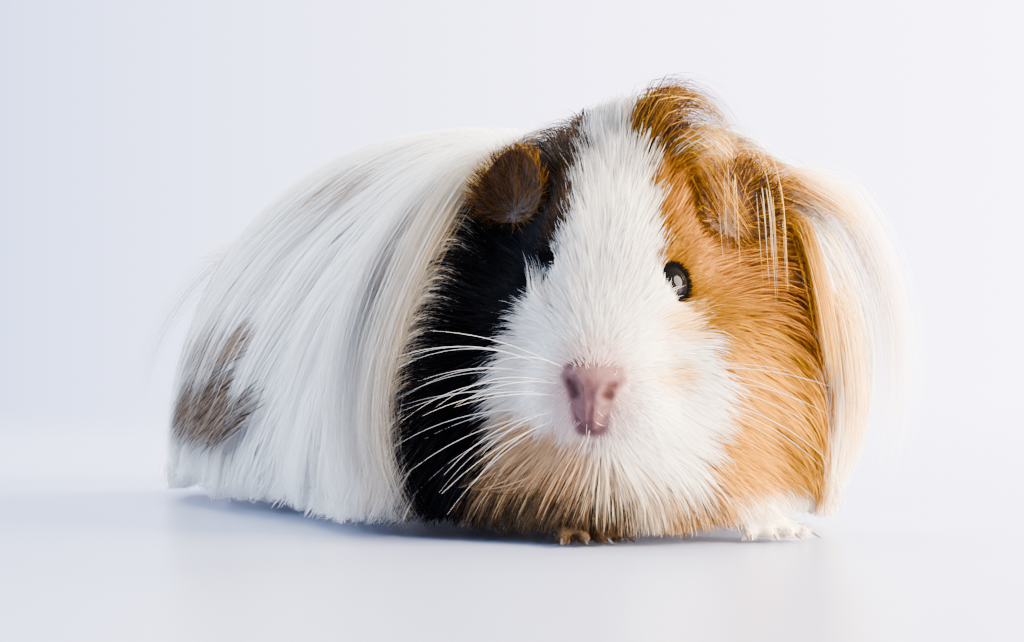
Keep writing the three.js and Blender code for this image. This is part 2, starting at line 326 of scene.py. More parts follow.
def add_sky():
    world = bpy.data.worlds.new("pale sky")
    world.use_nodes = True
    sky = world.node_tree.nodes["Background"]
    sky.inputs["Color"].default_value = SKY_COLOUR
    sky.inputs["Strength"].default_value = SKY_STRENGTH
    bpy.context.scene.world = world


add_sky()
for name, settings in LIGHTS.items():
    add_light(name, *settings)
print("sky and", len(LIGHTS), "lights")

# %% [markdown]
# Several pieces start as copies of the frame's solids, and are then shaped with Blender's own
# modifiers. These helpers make such a copy, apply a modifier to it, and read and move its corners.

# %% Mesh helpers
def select_only(piece):
    bpy.ops.object.select_all(action="DESELECT")
    piece.select_set(True)
    bpy.context.view_layer.objects.active = piece


def apply(piece, kind, **settings):
    modifier = piece.modifiers.new(kind.lower(), kind)
    for name, value in settings.items():
        setattr(modifier, name, value)
    select_only(piece)
    bpy.ops.object.modifier_apply(modifier=modifier.name)


def new_piece(name, data):
    piece = bpy.data.objects.new(name, data)
    bpy.context.collection.objects.link(piece)
    return piece


def copy_of(name, nodes):
    """One piece made of copies of some nodes of the frame, with their doubled corners merged."""
    copies = [new_piece(name, NODES[node].data.copy()) for node in nodes]
    select_only(copies[0])
    for piece in copies:
        piece.select_set(True)
    bpy.ops.object.join()
    bpy.ops.object.mode_set(mode="EDIT")
    bpy.ops.mesh.select_all(action="SELECT")
    bpy.ops.mesh.remove_doubles(threshold=1e-5)
    bpy.ops.mesh.customdata_custom_splitnormals_clear()
    bpy.ops.object.mode_set(mode="OBJECT")
    copies[0].data.materials.clear()
    return copies[0]


def corners(piece):
    """The corners of a mesh, in millimetres."""
    found = np.empty(len(piece.data.vertices) * 3)
    piece.data.vertices.foreach_get("co", found)
    return found.reshape(-1, 3) / MM


def move_corners(piece, points):
    piece.data.vertices.foreach_set("co", (points * MM).ravel())
    piece.data.update()


def corner_normals(piece):
    found = np.empty(len(piece.data.vertices) * 3, np.float32)
    piece.data.vertex_normals.foreach_get("vector", found)
    return found.reshape(-1, 3).astype(float)


def keep_largest(piece):
    """Drops the closed bubbles that fusing can leave inside."""
    select_only(piece)
    bpy.ops.object.mode_set(mode="EDIT")
    bpy.ops.mesh.select_all(action="SELECT")
    bpy.ops.mesh.separate(type="LOOSE")
    bpy.ops.object.mode_set(mode="OBJECT")
    parts = sorted(bpy.context.selected_objects, key=lambda part: -len(part.data.vertices))
    for part in parts[1:]:
        bpy.data.objects.remove(part)
    return parts[0]


print("mesh helpers ready")

# %% [markdown]
# Everything of flesh is one outline. The solids of the frame are parted by thin cuts, so copies of
# them are swollen until the cuts close, fused into one surface and drawn in again. The result is
# the envelope that the tips of the coat should reach.

# %% The coat's envelope
FLESH = ["head", "nose", "neck", "trunk", "rump"]
LEGS = [f"{side}_{leg}" for side in ("left", "right") for leg in ("foreleg", "hindleg")]
EYES = ["left_eye", "right_eye"]
SEAL = 1.25
ENVELOPE_DETAIL = 1.8


def fuse(piece, detail, smoothing=2):
    apply(piece, "REMESH", mode="VOXEL", voxel_size=detail * MM)
    piece = keep_largest(piece)
    apply(piece, "SMOOTH", factor=0.5, iterations=smoothing)
    return piece


def seal_and_fuse(piece, seal, detail, smoothing=2):
    apply(piece, "DISPLACE", strength=seal * MM, mid_level=0)
    piece = fuse(piece, detail, smoothing)
    apply(piece, "DISPLACE", strength=-seal * MM, mid_level=0)
    return piece


envelope = seal_and_fuse(copy_of("envelope", FLESH + LEGS + EYES), SEAL, ENVELOPE_DETAIL)
print("envelope:", len(envelope.data.polygons), "faces")

# %% [markdown]
# Hair and skin both need to know how far a place is from that envelope, and which way is out. Asking
# the mesh each time would be slow, so the answers are stored on a regular grid and read by
# blending the eight nearest ones.

# %% Distance to the envelope
FIELD_STEP = 2.6
FIELD_MARGIN = 14


def signed_distance(tree, place):
    near, normal, _, distance = tree.find_nearest(place)
    return distance / MM if (place - near).dot(normal) > 0 else -distance / MM


def nearest_on(tree, place):
    """The nearest place on a surface, and the way out of it there."""
    near, normal, _, _ = tree.find_nearest(Vector(place * MM))
    return np.array(near) / MM, np.array(normal)


class Field:
    """Distance to a closed mesh, negative inside, with its outward direction."""

    def __init__(self, piece):
        tree = BVHTree.FromObject(piece, bpy.context.evaluated_depsgraph_get())
        shape = corners(piece)
        self.low = shape.min(0) - FIELD_MARGIN
        counts = np.ceil((shape.max(0) + FIELD_MARGIN - self.low) / FIELD_STEP).astype(int) + 1
        axes = [low + FIELD_STEP * np.arange(count) for low, count in zip(self.low, counts)]
        places = np.stack(np.meshgrid(*axes, indexing="ij"), -1).reshape(-1, 3)
        distances = [signed_distance(tree, Vector(place * MM)) for place in places]
        self.values = np.array(distances).reshape(counts)
        self.slopes = np.stack(np.gradient(self.values, FIELD_STEP), -1)

    def read(self, grid, points):
        top = np.array(self.values.shape) - 1.001
        at = np.clip((points - self.low) / FIELD_STEP, 0, top)
        cell = at.astype(int)
        part = at - cell
        total = 0
        for corner in np.ndindex(2, 2, 2):
            share = np.prod(np.where(corner, part, 1 - part), axis=-1)
            value = grid[tuple((cell + corner).T)]
            total = total + (value * share[:, None] if value.ndim > 1 else value * share)
        return total

    def distance(self, points):
        return self.read(self.values, points)

    def outward(self, points):
        return unit(self.read(self.slopes, points))


field = Field(envelope)
print("field:", field.values.shape, "deepest", round(field.values.min(), 1), "mm")

# %% [markdown]
# The coat's depth is what lies between the skin and that envelope. It is almost nothing on the nose
# and round the eyes, a few millimetres on the muzzle, and deepest where long hair hangs down the
# neck and the flanks.

# %% Depth of the coat
NOSE_TIP = np.array([0, -27.0, -25.0])
NOSE_CENTRE = NOSE_TIP + (0, 0, -1)
HEAD_DEPTHS = ((0, 7, 11, 25, 48, 75), (0.15, 0.3, 1.0, 2.4, 6.5, 13))
FLANK_DEPTH = 14
BACK_DEPTH = 6
EYE_CENTRES = [np.array([side * EYE_SPREAD, 0, 0]) for side in (1, -1)]


def step(low, high, value):
    """0 up to low and 1 beyond high, with a soft slope between; low may be the greater of the two."""
    t = np.clip((value - low) / (high - low), 0, 1)
    return t * t * (3 - 2 * t)


def mix(a, b, share):
    return a + (b - a) * share


def eye_distance(head_points):
    return np.min([np.linalg.norm(head_points - centre, axis=-1) for centre in EYE_CENTRES], axis=0)


def coat_depth(points):
    h = to_head(points)
    from_nose = np.linalg.norm(h - NOSE_CENTRE, axis=-1)
    depth = np.interp(from_nose, *HEAD_DEPTHS)
    body = mix(FLANK_DEPTH, BACK_DEPTH, step(70, 105, points[:, 2]))
    depth = mix(depth, body, step(60, 95, from_nose))
    lids = 0.35 + np.maximum(0, eye_distance(h) - EYE_RADIUS - 0.6) * 0.28
    return np.minimum(depth, lids)


sample = np.array([from_head(NOSE_TIP), from_head((0, 0, 40)), (60, 40, 50)])
print("coat depth at nose, crown and flank:", coat_depth(sample).round(1), "mm")

# %% [markdown]
# A guinea pig of this breed is white with patches of ginger, black and ticked brown hair. Ticked
# hair has dark tips. The colours are linear, and deep, because the lights are strong.

# %% Colours of the coat
WHITE = np.array([0.86, 0.85, 0.84])
CREAM = np.array([0.80, 0.64, 0.42])
GINGER = np.array([0.118, 0.051, 0.001])
GINGER_PALE = np.array([0.47, 0.21, 0.0008])
HONEY = np.array([0.74, 0.44, 0.10])
GOLD = np.array([0.15, 0.060, 0.008])
TAN = np.array([0.27, 0.125, 0.045])
CHIN_CREAM = np.array([0.44, 0.33, 0.23])
CHIN_TAN = np.array([0.275, 0.17, 0.092])
BLACK = np.array([0.0022, 0.0022, 0.0032])
STRIP_BROWN = np.array([0.036, 0.017, 0.006])
TAUPE = np.array([0.110, 0.066, 0.038])
FRECKLE_TAN = np.array([0.78, 0.48, 0.15])
TICK = np.array([0.010, 0.006, 0.004])
BLUSH = np.array([0.66, 0.43, 0.42])
FOOT_COLOURS = {"left_foreleg": 0.5 * (CREAM + WHITE), "right_foreleg": CHIN_TAN * 0.17}
print("the palest and darkest hair:", WHITE, BLACK)

# %% [markdown]
# The face's patches lie on both sides of the white blaze that runs from the crown down to the muzzle.
# Their edges are bent lines in the head's axes, measured across the face. They wander a little, as
# hair of two colours mixes there, so a sum of a few waves stands in for chance.

# %% Edges of the patches
# Each patch of the body has its centre, half size and strength, in the axes of the frame; each freckle
# has its place across and up the face, and its size.
BODY_PATCHES = (((-64, 46, 29), (18, 44, 11), 0.5), ((-60, 48, 46), (18, 44, 9), 0.3),
                ((-38, 12, 86), (18, 30, 10), 0.25), ((62, 60, 50), (18, 40, 20), 0.4))
FRECKLES = ((17, -9, 7.5), (16, -21, 6.5))

# Each edge has heights over the eyes, and the distance across the face at each of them. Widths of the
# band and the strip are given in the same way.
BLAZE_LEFT = ((-60, -40, -25, -12, 0, 12, 20, 43, 60), (20, 26, 31, 24, 12.5, 9, 8, 4, 3))
BLAZE_RIGHT = ((-60, -40, -25, -12, 0, 20, 43, 60), (-17, -25, -28, -23, -16, -10, -6, -5))
BLACK_RIGHT = ((-62, -52, -40, -22, -5, 14, 32, 45), (-46, -48, -52, -48, -42, -37, -23, -13))
GINGER_LEFT = ((-60, -42, -25, 0, 24, 40, 50), (52, 54, 55, 49, 42, 37, 34))
# The chin's upper edge has distances across the face and its height at each of them. The band runs
# from place to place.
CHIN_TOP = ((-35, -22, -5, 10, 23, 34), (-28, -31, -38, -44, -44, -36))
BAND = ((25, 24), (31, 12), (43, -2), (51, -12), (56, -22))
BAND_WIDTHS = ((-22, -10, 5, 20), (2, 6, 12, 14))
STRIP_WIDTHS = ((4, 12, 40), (0.01, 3.0, 9))
ACROSS_FACE = np.array([0.988, 0.156, 0])


def face_edges(points):
    """Place in the head's axes, across the face, and past its patches on either side."""
    h = to_head(points)
    across = h @ ACROSS_FACE
    past_right = np.interp(h[:, 2], *BLACK_RIGHT) - across
    past_left = across - np.interp(h[:, 2], *GINGER_LEFT)
    return h, across, past_right, past_left


def wobble(points, size, seed):
    """A soft random value from -1 to 1 that changes over about that many millimetres."""
    rng = np.random.default_rng(seed)
    waves = unit(rng.normal(size=(5, 3))) * rng.uniform(0.7, 1.5, (5, 1)) * 2 * np.pi / size
    return np.sum(np.sin(points @ waves.T + rng.uniform(0, 7, 5)), axis=-1) / 3


def patch(points, centre, half):
    """1 in the middle of a rounded patch and 0 outside it."""
    ragged = 1 + 0.22 * wobble(points, 9, 7)
    return 1 - step(0.6, 1.15, np.linalg.norm((points - centre) / half, axis=-1) * ragged)


def near_path(across, up, path):
    """Distance in the plane of the face to a bent line."""
    found = np.full(len(across), 1e3)
    for (x0, z0), (x1, z1) in zip(path, path[1:]):
        run, rise = x1 - x0, z1 - z0
        t = np.clip(((across - x0) * run + (up - z0) * rise) / (run**2 + rise**2), 0, 1)
        found = np.minimum(found, np.hypot(across - x0 - t * run, up - z0 - t * rise))
    return found


print("patches on the body:", len(BODY_PATCHES), "and freckles:", len(FRECKLES))

# %% [markdown]
# Colours are laid on in layers, in the order in which one would paint them: each layer has a share
# from 0 to 1 at every place. The left of the face is ginger, and the right is black.

# %% Paint for the two sides
def laid_over(colours, colour, share):
    """Colours with another one laid over them, by its share at each place."""
    return mix(colours, colour, share[:, None])


class Paint:
    """Linear colour, and the share of dark-ticked hair, painted layer on layer."""

    def __init__(self, count, base):
        self.colour, self.tick = np.tile(base, (count, 1)), np.zeros(count)

    def add(self, share, colour, ticked=0.0):
        self.colour = laid_over(self.colour, colour, share)
        self.tick = mix(self.tick, ticked, share)


def paint_left(paint, points, across, up, beyond, outside, front):
    """The animal's left: ginger cheek and crown, and cream hair streaked with ginger outside them."""
    mane = step(-3, 3, outside) * step(-60, -50, up) * front
    paint.add(mane, 0.25 * CREAM + 0.75 * WHITE)
    streak = step(0.1, 0.5, wobble(points * (1, 1, 0.12), 9, 9)) * (1 - step(12, 26, outside))
    paint.add(mane * streak * 0.8, HONEY, 0.04)
    paint.add(mane * step(-4, -36, up) * 0.4, HONEY)
    ginger = step(-1.2, 1.2, beyond) * (1 - step(-3, 4, outside)) * front
    # Painted light and shade: the ginger is darker above, as painted shade over the upper cheek and round
    # the eye, and paler on the lower cheek, as painted light where the window light falls on it.
    paint.add(ginger, GINGER, 0.05)
    paint.add(ginger * step(-6, -20, up) * 0.9, GINGER_PALE)
    paint.add(ginger * step(0.2, 0.8, wobble(points, 12, 17)) * 0.3, GINGER_PALE)
    # Darker again at the lowest, outermost corner of the cheek.
    paint.add(ginger * step(-26, -36, up) * step(38, 46, across) * 0.85, GINGER_PALE * 0.21, 0.1)
    # The crown beside the blaze is dark ticked brown hair, painted darker still as painted shade under the
    # sweep of hair over it.
    paint.add(ginger * step(24, 34, up) * (1 - step(24, 34, across)), GOLD * 0.12, 0.7)
    band = near_path(across, up, BAND) / np.interp(up, *BAND_WIDTHS)
    paint.add(ginger * (1 - step(0.5, 1.3, band)) * 0.9, GOLD * 1.9, 0.5)


def paint_right(paint, across, up, before, past, front):
    """The animal's right: a ticked strip beside the blaze, then black from the ear to the floor."""
    right = step(-1.2, 1.2, before) * (1 - step(-2, 3, past)) * front
    paint.add(right, BLACK)
    strip = np.interp(up, *STRIP_WIDTHS)
    paint.add(right * (1 - step(strip - 2, strip + 2, before)) * step(4, 12, up), STRIP_BROWN, 0.4)
    edge = step(0, 3, past) * (1 - step(3, 10, past)) * front * step(0, 20, -across)
    paint.add(edge * 0.8, 0.7 * CREAM + 0.05)
    behind_ear = step(3, 14, up) * (1 - step(24, 36, up)) * (1 - step(3, 9, past))
    paint.add(edge * behind_ear, TAN, 0.3)


print("paint ready for both sides of the face")

# %% [markdown]
# Chin, body and feet follow, and then all layers together. The same function gives the colour of skin
# and coat at any place, so the two always agree.

# %% Markings
def paint_chin(paint, h, across, up, ragged):
    """Chin and chest: cream in the middle, ticked tan on both sides, and darkest near the floor."""
    chin = step(1, -4, up - np.interp(across, *CHIN_TOP) + ragged) * (1 - step(5, 25, h[:, 1]))
    paint.add(chin * (1 - step(9, 16, np.abs(across - 4))), CHIN_CREAM, 0.08)
    below = chin * step(0, 9, -across) * (1 - step(22, 28, -across))
    paint.add(below, CHIN_TAN * 2.2, 0.1)
    paint.add(below * step(-43, -51, up) * step(0, 9, -across), CHIN_TAN * 0.9, 0.4)
    paint.add(below * step(-48, -56, up) * step(0, 9, -across), CHIN_TAN * 0.12, 0.5)
    aside = chin * step(10, 18, across) * (1 - step(24, 34, across)) * step(-42, -50, up)
    paint.add(aside, GINGER_PALE * 0.3 + CHIN_CREAM * 0.4, 0.3)


def paint_body(paint, points):
    """Painted shade over the rump, soft brown patches on the haunch and over the back, and white feet."""
    # Painted shade: the hind part of the body is greyed, as the rump lies in shade.
    paint.add(step(70, 110, points[:, 1]) * 0.35, WHITE * 0.6)
    for centre, half, share in BODY_PATCHES:
        paint.add(patch(points, np.array(centre), np.array(half)) * share, TAUPE, 0.25)
    for leg in LEGS:
        paint.add(over_foot(points, leg) * (1 - step(9, 14, points[:, 2])), FOOT_COLOURS.get(leg, WHITE))


def over_foot(points, leg):
    """1 where a place lies on or just over a foot, seen from above."""
    low, high = np.array(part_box(leg))[:, :2] / MM
    past = np.maximum(low - points[:, :2], points[:, :2] - high).max(1)
    return 1 - step(1, 5, past)


def markings(points):
    """Linear colour, and the share of dark-ticked hair, at each place."""
    h, across, past_right, past_left = face_edges(points)
    up = h[:, 2]
    ragged = 1.6 * wobble(points, 7, 1) + 1.0 * wobble(points, 2.6, 2)
    front = 1 - step(30, 52, h[:, 1] + 2 * ragged)
    paint = Paint(len(points), WHITE)
    beyond = across - np.interp(up, *BLAZE_LEFT) + ragged
    before = np.interp(up, *BLAZE_RIGHT) - across + ragged
    paint_left(paint, points, across, up, beyond, past_left + 2 * ragged, front)
    paint_right(paint, across, up, before, past_right + 2 * ragged, front)
    paint_chin(paint, h, across, up, ragged)
    for x, z, half in FRECKLES:
        spot = 1 - step(0.3, 1.1, np.hypot(across - x, (up - z) * 1.25) / half + 0.12 * ragged)
        paint.add(spot * 0.95 * front, FRECKLE_TAN)
    paint_body(paint, points)
    # Painted shade: the top of the blaze is greyed, where the crown's hair shades it.
    paint.add(front * step(18, 34, up) * (beyond < 1) * (before < 1) * 0.9, WHITE * 0.3)
    blush = 1 - step(8, 16, np.linalg.norm((h - NOSE_CENTRE) * (1, 0.7, 0.85), axis=-1))
    paint.add(0.8 * blush, BLUSH)
    return paint.colour, paint.tick


colours, ticks = markings(corners(envelope))
print("markings: mean colour", colours.mean(0).round(2), "ticked share", ticks.mean().round(2))

# %% [markdown]
# One skin covers head, body and legs, so that no seam shows between the nodes it replaces. It is the
# envelope drawn in by the coat's depth and fused with the bare legs and feet.

# %% Skin
SKIN_DETAIL = 1.35
BELLY_DEPTH = 6
FOOT_DEPTH = 0.3


def sink(points, normals):
    """Draws the envelope in by the coat's depth: straight in at first, then down the field."""
    belly = step(0.5, 0.85, -normals[:, 2])

    def depth(at):
        return mix(coat_depth(at), BELLY_DEPTH, belly)

    points = points - normals * np.minimum(depth(points), 2.5)[:, None]
    for _ in range(10):
        wanted = depth(points)
        gap = (-wanted - field.distance(points)) * step(2.4, 3.2, wanted)
        points = points + field.outward(points) * np.clip(0.6 * gap, -2, 2)[:, None]
    return points


def make_skin():
    skin = new_piece("skin", envelope.data.copy())
    move_corners(skin, sink(corners(skin), corner_normals(skin)))
    legs = copy_of("legs", LEGS)
    apply(legs, "DISPLACE", strength=-FOOT_DEPTH * MM, mid_level=0)
    select_only(skin)
    legs.select_set(True)
    bpy.ops.object.join()
    return fuse(skin, SKIN_DETAIL, smoothing=3)


skin = make_skin()
print("skin:", len(skin.data.polygons), "faces")

# %% [markdown]
# The face needs a much finer skin than the flanks. The faces round the nose, mouth and eyes are cut
# twice, and then drawn onto a finer copy of the head, so that the nose keeps its shape.

# %% Finer face
FACE_DETAIL = 0.75
FACE_SEAL = 0.9
FINE_ZONES = (((0, -19, -29), 19, 14.5), ((EYE_SPREAD, -1, 0), 11, 9.2), ((-EYE_SPREAD, -1, 0), 11, 9.2))


def refine(piece, radius_index):
    mesh = bmesh.new()
    mesh.from_mesh(piece.data)
    chosen = set()
    for centre, *radii in FINE_ZONES:
        place = Vector(from_head(centre) * MM)
        reach = radii[radius_index] * MM
        chosen.update(e for e in mesh.edges if (e.verts[0].co - place).length < reach)
    bmesh.ops.subdivide_edges(mesh, edges=list(chosen), cuts=1, use_grid_fill=True)
    mesh.to_mesh(piece.data)
    mesh.free()


def settle_on_head(piece):
    """Draws the fine zones onto a finely fused head, at the coat's depth below its surface."""
    head = seal_and_fuse(copy_of("fine head", ["head", "nose", *EYES]), FACE_SEAL, FACE_DETAIL, smoothing=1)
    tree = BVHTree.FromObject(head, bpy.context.evaluated_depsgraph_get())
    points = corners(piece)
    h = to_head(points)
    inside = np.max([1 - step(wide - 3.5, wide - 0.5, np.linalg.norm(h - centre, axis=-1))
                     for centre, wide, _ in FINE_ZONES], axis=0)
    for i in np.flatnonzero(inside > 0):
        near, normal = nearest_on(tree, points[i])
        target = near - normal * coat_depth(points[i:i + 1])[0]
        points[i] = mix(points[i], target, inside[i])
    move_corners(piece, points)
    bpy.data.objects.remove(head)


refine(skin, 0)
refine(skin, 1)
settle_on_head(skin)
print("skin with a finer face:", len(skin.data.polygons), "faces")

# %% [markdown]
# Nostrils, the cleft under the nose, the mouth and the eyelids are folds of that skin. Each is a
# small push along or against the surface, sized from the living animal: comma-shaped
# nostrils that slant down to the middle, a mouth tucked under the nose, and lids that wrap the
# eyeball with a rolled rim about an almond opening.

# %% Folds of the face
# Half the width of the nose's bare pad at each height over the eyes.
NOSE_WIDTHS = ((-38, -36, -34, -29, -23, -18, -14), (2.6, 4.0, 4.8, 6.2, 8.8, 7.4, 4.0))
NOSTRIL = ((3.6, -26.6), (4.4, -24.6), (6.6, -23.3))
NOSTRIL_WIDTHS = ((3.5, 7), (1.25, 0.85))
NOSTRIL_DEPTH = 0.9
MOUTH_HEIGHT = -38.8
CLEFT_DEPTH = 0.4
MOUTH_DEPTH = 0.7
LIP_RISE = 0.25
LID_THICKNESS = 0.4
LID_ROLL = 0.2
GAZE = unit(np.array([0.84, -0.53, 0.08]))
OPENING_WIDE, OPENING_TALL = math.radians(67), math.radians(82)


def nostril_gap(h):
    """Distance to the comma of the nostril seen from the front, over its half width there."""
    across = np.abs(h[:, 0])
    return near_path(across, h[:, 2], NOSTRIL) / np.interp(across, *NOSTRIL_WIDTHS)


def mouth_line(x):
    return MOUTH_HEIGHT - 0.012 * np.minimum(np.abs(x), 14) ** 2


def nose_mask(h):
    """1 on the bare pad of the nose: wide at the nostrils, narrow at the cleft."""
    half = np.interp(h[:, 2], *NOSE_WIDTHS)
    sides_in = 1 - step(half - 1.9, half + 1.1, np.abs(h[:, 0]))
    level = step(-38.4, -35.4, h[:, 2]) * (1 - step(-20, -14, h[:, 2]))
    return sides_in * level * (1 - step(-17, -12, h[:, 1]))


def dot(a, b):
    return np.sum(a * b, axis=-1)


def opening(h, side):
    """How far a place is round the eyeball from its gaze: 1 at the rim of the lids."""
    gaze = GAZE * (side, 1, 1)
    out = h - np.array([side * EYE_SPREAD, 0, 0])
    across = unit(np.cross(gaze, (0, 0, 1)))
    lift = np.cross(across, gaze)
    ahead = dot(out, gaze)
    wide = np.arctan2(dot(out, across), ahead) / OPENING_WIDE
    tall = np.arctan2(dot(out, lift), ahead) / OPENING_TALL
    return np.hypot(wide, tall), np.linalg.norm(out, axis=-1), out


def fold_face(piece):
    points, normals = corners(piece), corner_normals(piece)
    h, n = to_head(points), normals @ HEAD_AXES.T
    front = 1 - step(-14, -10, h[:, 1])
    gap = nostril_gap(h)
    h = h + n * (0.18 * np.exp(-(((gap - 1.8) / 0.6) ** 2)) * front)[:, None]
    h[:, 1] += NOSTRIL_DEPTH * (1 - step(0.1, 1.6, gap)) * front * (1 - step(5.0, 7.2, np.abs(h[:, 0])))
    cleft = (1 - step(0.1, 1.1, np.abs(h[:, 0]))) * step(-37, -35, h[:, 2]) * (1 - step(-31, -27, h[:, 2]))
    h[:, 1] += CLEFT_DEPTH * cleft * front
    low = 1 - step(-8, -3, h[:, 1])
    crease = np.abs(h[:, 2] - mouth_line(h[:, 0])) / mix(0.9, 0.5, step(0, 12, np.abs(h[:, 0])))
    along = 1 - step(7, 12, np.abs(h[:, 0]))
    h[:, 1] += MOUTH_DEPTH * (1 - step(0.2, 1.2, crease)) * along * low
    h = h + n * (LIP_RISE * np.exp(-(((crease - 2.6) / 1.1) ** 2)) * along * low)[:, None]
    for side in (1, -1):
        round_rim, reach, out = opening(h, side)
        lid = EYE_RADIUS + LID_THICKNESS + LID_ROLL * np.exp(-(((round_rim - 1.12) / 0.08) ** 2))
        close = 1 - step(8.5, 10.5, reach)
        covered = np.maximum(reach, lid)
        tucked = np.minimum(reach, EYE_RADIUS - 1)
        wanted = mix(tucked, covered, step(0.97, 1.05, round_rim))
        h = h + unit(out) * ((wanted - reach) * close * (round_rim < 2.6))[:, None]
    move_corners(piece, from_head(h))


fold_face(skin)
bpy.ops.object.select_all(action="DESELECT")
print("face folded: nostrils, cleft, mouth and lids")

# %% [markdown]
# The skin is pink where it is bare, and tinted by the hair that grows from it. Its colour comes from
# the same markings as the coat, with a bare pink nose, dark rims to the lids, and painted shade in
# the nostrils and the crease of the mouth. It is stored on the corners of the mesh, which are close
# enough together for it.

# %% Colour of the skin
NOSE_PINK = np.array([0.125, 0.063, 0.066])
NOSTRIL_SHADE = np.array([0.042, 0.018, 0.018])
LID_DARK = np.array([0.0008, 0.0007, 0.0008])
SKIN_PINK = np.array([0.60, 0.36, 0.30])
MOUTH_SHADE = np.array([0.30, 0.17, 0.15])
UNDERCOAT = 0.8


def skin_colour(points):
    h = to_head(points)
    colour, tick = markings(points)
    colour = laid_over(colour, TICK, 0.6 * tick) * UNDERCOAT
    from_nose = np.linalg.norm(h - NOSE_CENTRE, axis=-1)
    pink = (1 - step(9, 19, from_nose)) * 0.55
    colour = laid_over(colour, SKIN_PINK, pink)
    bare = nose_mask(h)
    colour = laid_over(colour, NOSE_PINK * (1 + 0.12 * wobble(points, 3, 5))[:, None], bare)
    low = step(-31, -36, h[:, 2]) * bare * 0.6
    colour = laid_over(colour, NOSE_PINK * 0.5, low)
    front = 1 - step(-14, -10, h[:, 1])
    # Painted shade in the hollows of the nostrils.
    hollow = front * (1 - step(0.0, 1.9, nostril_gap(h))) * (1 - step(5.4, 7.6, np.abs(h[:, 0])))
    colour = laid_over(colour, NOSTRIL_SHADE, hollow)
    # Painted shade in the crease of the mouth.
    crease = np.abs(h[:, 2] - mouth_line(h[:, 0]))
    mouth = (1 - step(0.3, 1.1, crease)) * (1 - step(8, 13, np.abs(h[:, 0]))) * (h[:, 1] < -3)
    colour = laid_over(colour, MOUTH_SHADE, 0.7 * mouth)
    for side in (1, -1):
        round_rim, reach, out = opening(h, side)
        close = 1 - step(7.2, 8.2, reach)
        rim = (1 - step(1.03, 1.09, round_rim)) * close
        upper = np.exp(-(((round_rim - 1.11) / 0.03) ** 2)) * close * step(0, 3, out[:, 2])
        colour = laid_over(colour, LID_DARK, rim)
        colour = laid_over(colour, SKIN_PINK * 0.6, upper)
    return colour, bare


colours, bare = skin_colour(corners(skin))
print("bare nose covers", int((bare > 0.5).sum()), "corners")

# %% [markdown]
# Skin has fine pores and a faint mottle, and almost no shine under the coat. Every piece is finished
# in the same way: it rides on the one body, and the nodes that it replaces are hidden.

# %% Finish of the skin
def set_colour(piece, colour):
    layer = piece.data.color_attributes.new("coat_colour", "FLOAT_COLOR", "POINT")
    layer.data.foreach_set("color", np.column_stack([np.clip(colour, 0, 1), np.ones(len(colour))]).ravel())


def skin_finish():
    finish = Finish("skin")
    mottle = finish.noise(900, 3).between(0.3, 0.75)
    colour = finish.attribute("coat_colour", "Color")
    colour = finish.mix(0.25 * mottle, colour, (0.6, 0.5, 0.45), "MULTIPLY")
    bare = finish.attribute("bare")
    pores = finish.bump(finish.noise(2600, 3) + 0.5 * finish.noise(700, 2), 0.35, 0.0004)
    shader = finish.surface(Base_Color=colour, Roughness=0.85 - 0.2 * bare, Normal=pores,
                            Specular_IOR_Level=0.01)
    return finish.done(shader)


def finish_piece(piece, slot, *replaced):
    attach(piece, "root")
    if replaced:
        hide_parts(*replaced)


def smooth(piece):
    select_only(piece)
    bpy.ops.object.shade_smooth()


set_colour(skin, colours)
skin.data.attributes.new("bare", "FLOAT", "POINT").data.foreach_set("value", bare)
skin.data.materials.clear()
skin.data.materials.append(skin_finish())
smooth(skin)
finish_piece(skin, "coat", *FLESH, *LEGS)
print("skin finished")

# %% [markdown]
# Guinea pig eyes are large, round and very dark, with a wet cornea that stands a little proud. A
# turned sphere gives the eyeball, its pole towards the gaze; the corners near the pole are pushed
# out for the cornea.

# %% Eyes
CORNEA_RISE = 0.3
CORNEA_EDGE = 80
PUPIL = np.array([0.002, 0.002, 0.003])
IRIS = np.array([0.003, 0.003, 0.003])


def eye_finish():
    finish = Finish("wet eye")
    colour = finish.attribute("coat_colour", "Color")
    return finish.done(finish.surface(Base_Color=colour, Roughness=0.05, Specular_IOR_Level=0.07))


def add_eye(name, side, finish):
    gaze = head_vector(GAZE * (side, 1, 1))
    centre = from_head((side * EYE_SPREAD, 0, 0))
    turn = Vector(gaze).to_track_quat("Z", "Y").to_euler()
    bpy.ops.mesh.primitive_uv_sphere_add(segments=72, ring_count=40, radius=EYE_RADIUS * MM,
                                         location=centre * MM, rotation=turn)
    eye = bpy.context.object
    eye.name = f"{name}_ball"
    bpy.ops.object.transform_apply(location=True, rotation=True)
    points = corners(eye)
    out = unit(points - centre)
    angle = np.degrees(np.arccos(np.clip(out @ gaze, -1, 1)))
    move_corners(eye, points + out * (CORNEA_RISE * (1 - step(0, CORNEA_EDGE, angle)))[:, None])
    streaks = 1 + 0.35 * wobble(out * 40, 6, 3)
    iris = step(20, 26, angle) * (1 - step(45, 60, angle))
    set_colour(eye, laid_over(PUPIL, IRIS * streaks[:, None], iris))
    eye.data.materials.append(finish)
    smooth(eye)
    finish_piece(eye, "eye", name)


wet = eye_finish()
for name, side in (("left_eye", 1), ("right_eye", -1)):
    add_eye(name, side, wet)
print("two eyes of radius", round(EYE_RADIUS, 1), "mm")

# %% [markdown]
# The ears are thin petals of nearly bare dark skin. Their outline is already right in the frame, so
# copies of the two nodes are rounded with a subdivision surface, and the skin gets fine creases
# and lets some light through. The claws are rounded copies too: pale horn, and dark horn on the
# right forefoot, which stands in dark hair.

# %% Ears and claws
EAR_DARK = {"left_ear": np.array([0.03, 0.013, 0.008]), "right_ear": np.array([0.055, 0.032, 0.022])}
EAR_RIM = {"left_ear": np.array([0.12, 0.055, 0.028]), "right_ear": np.array([0.085, 0.048, 0.030])}
CLAWS = sorted(name for name in NODES if "claw" in name)


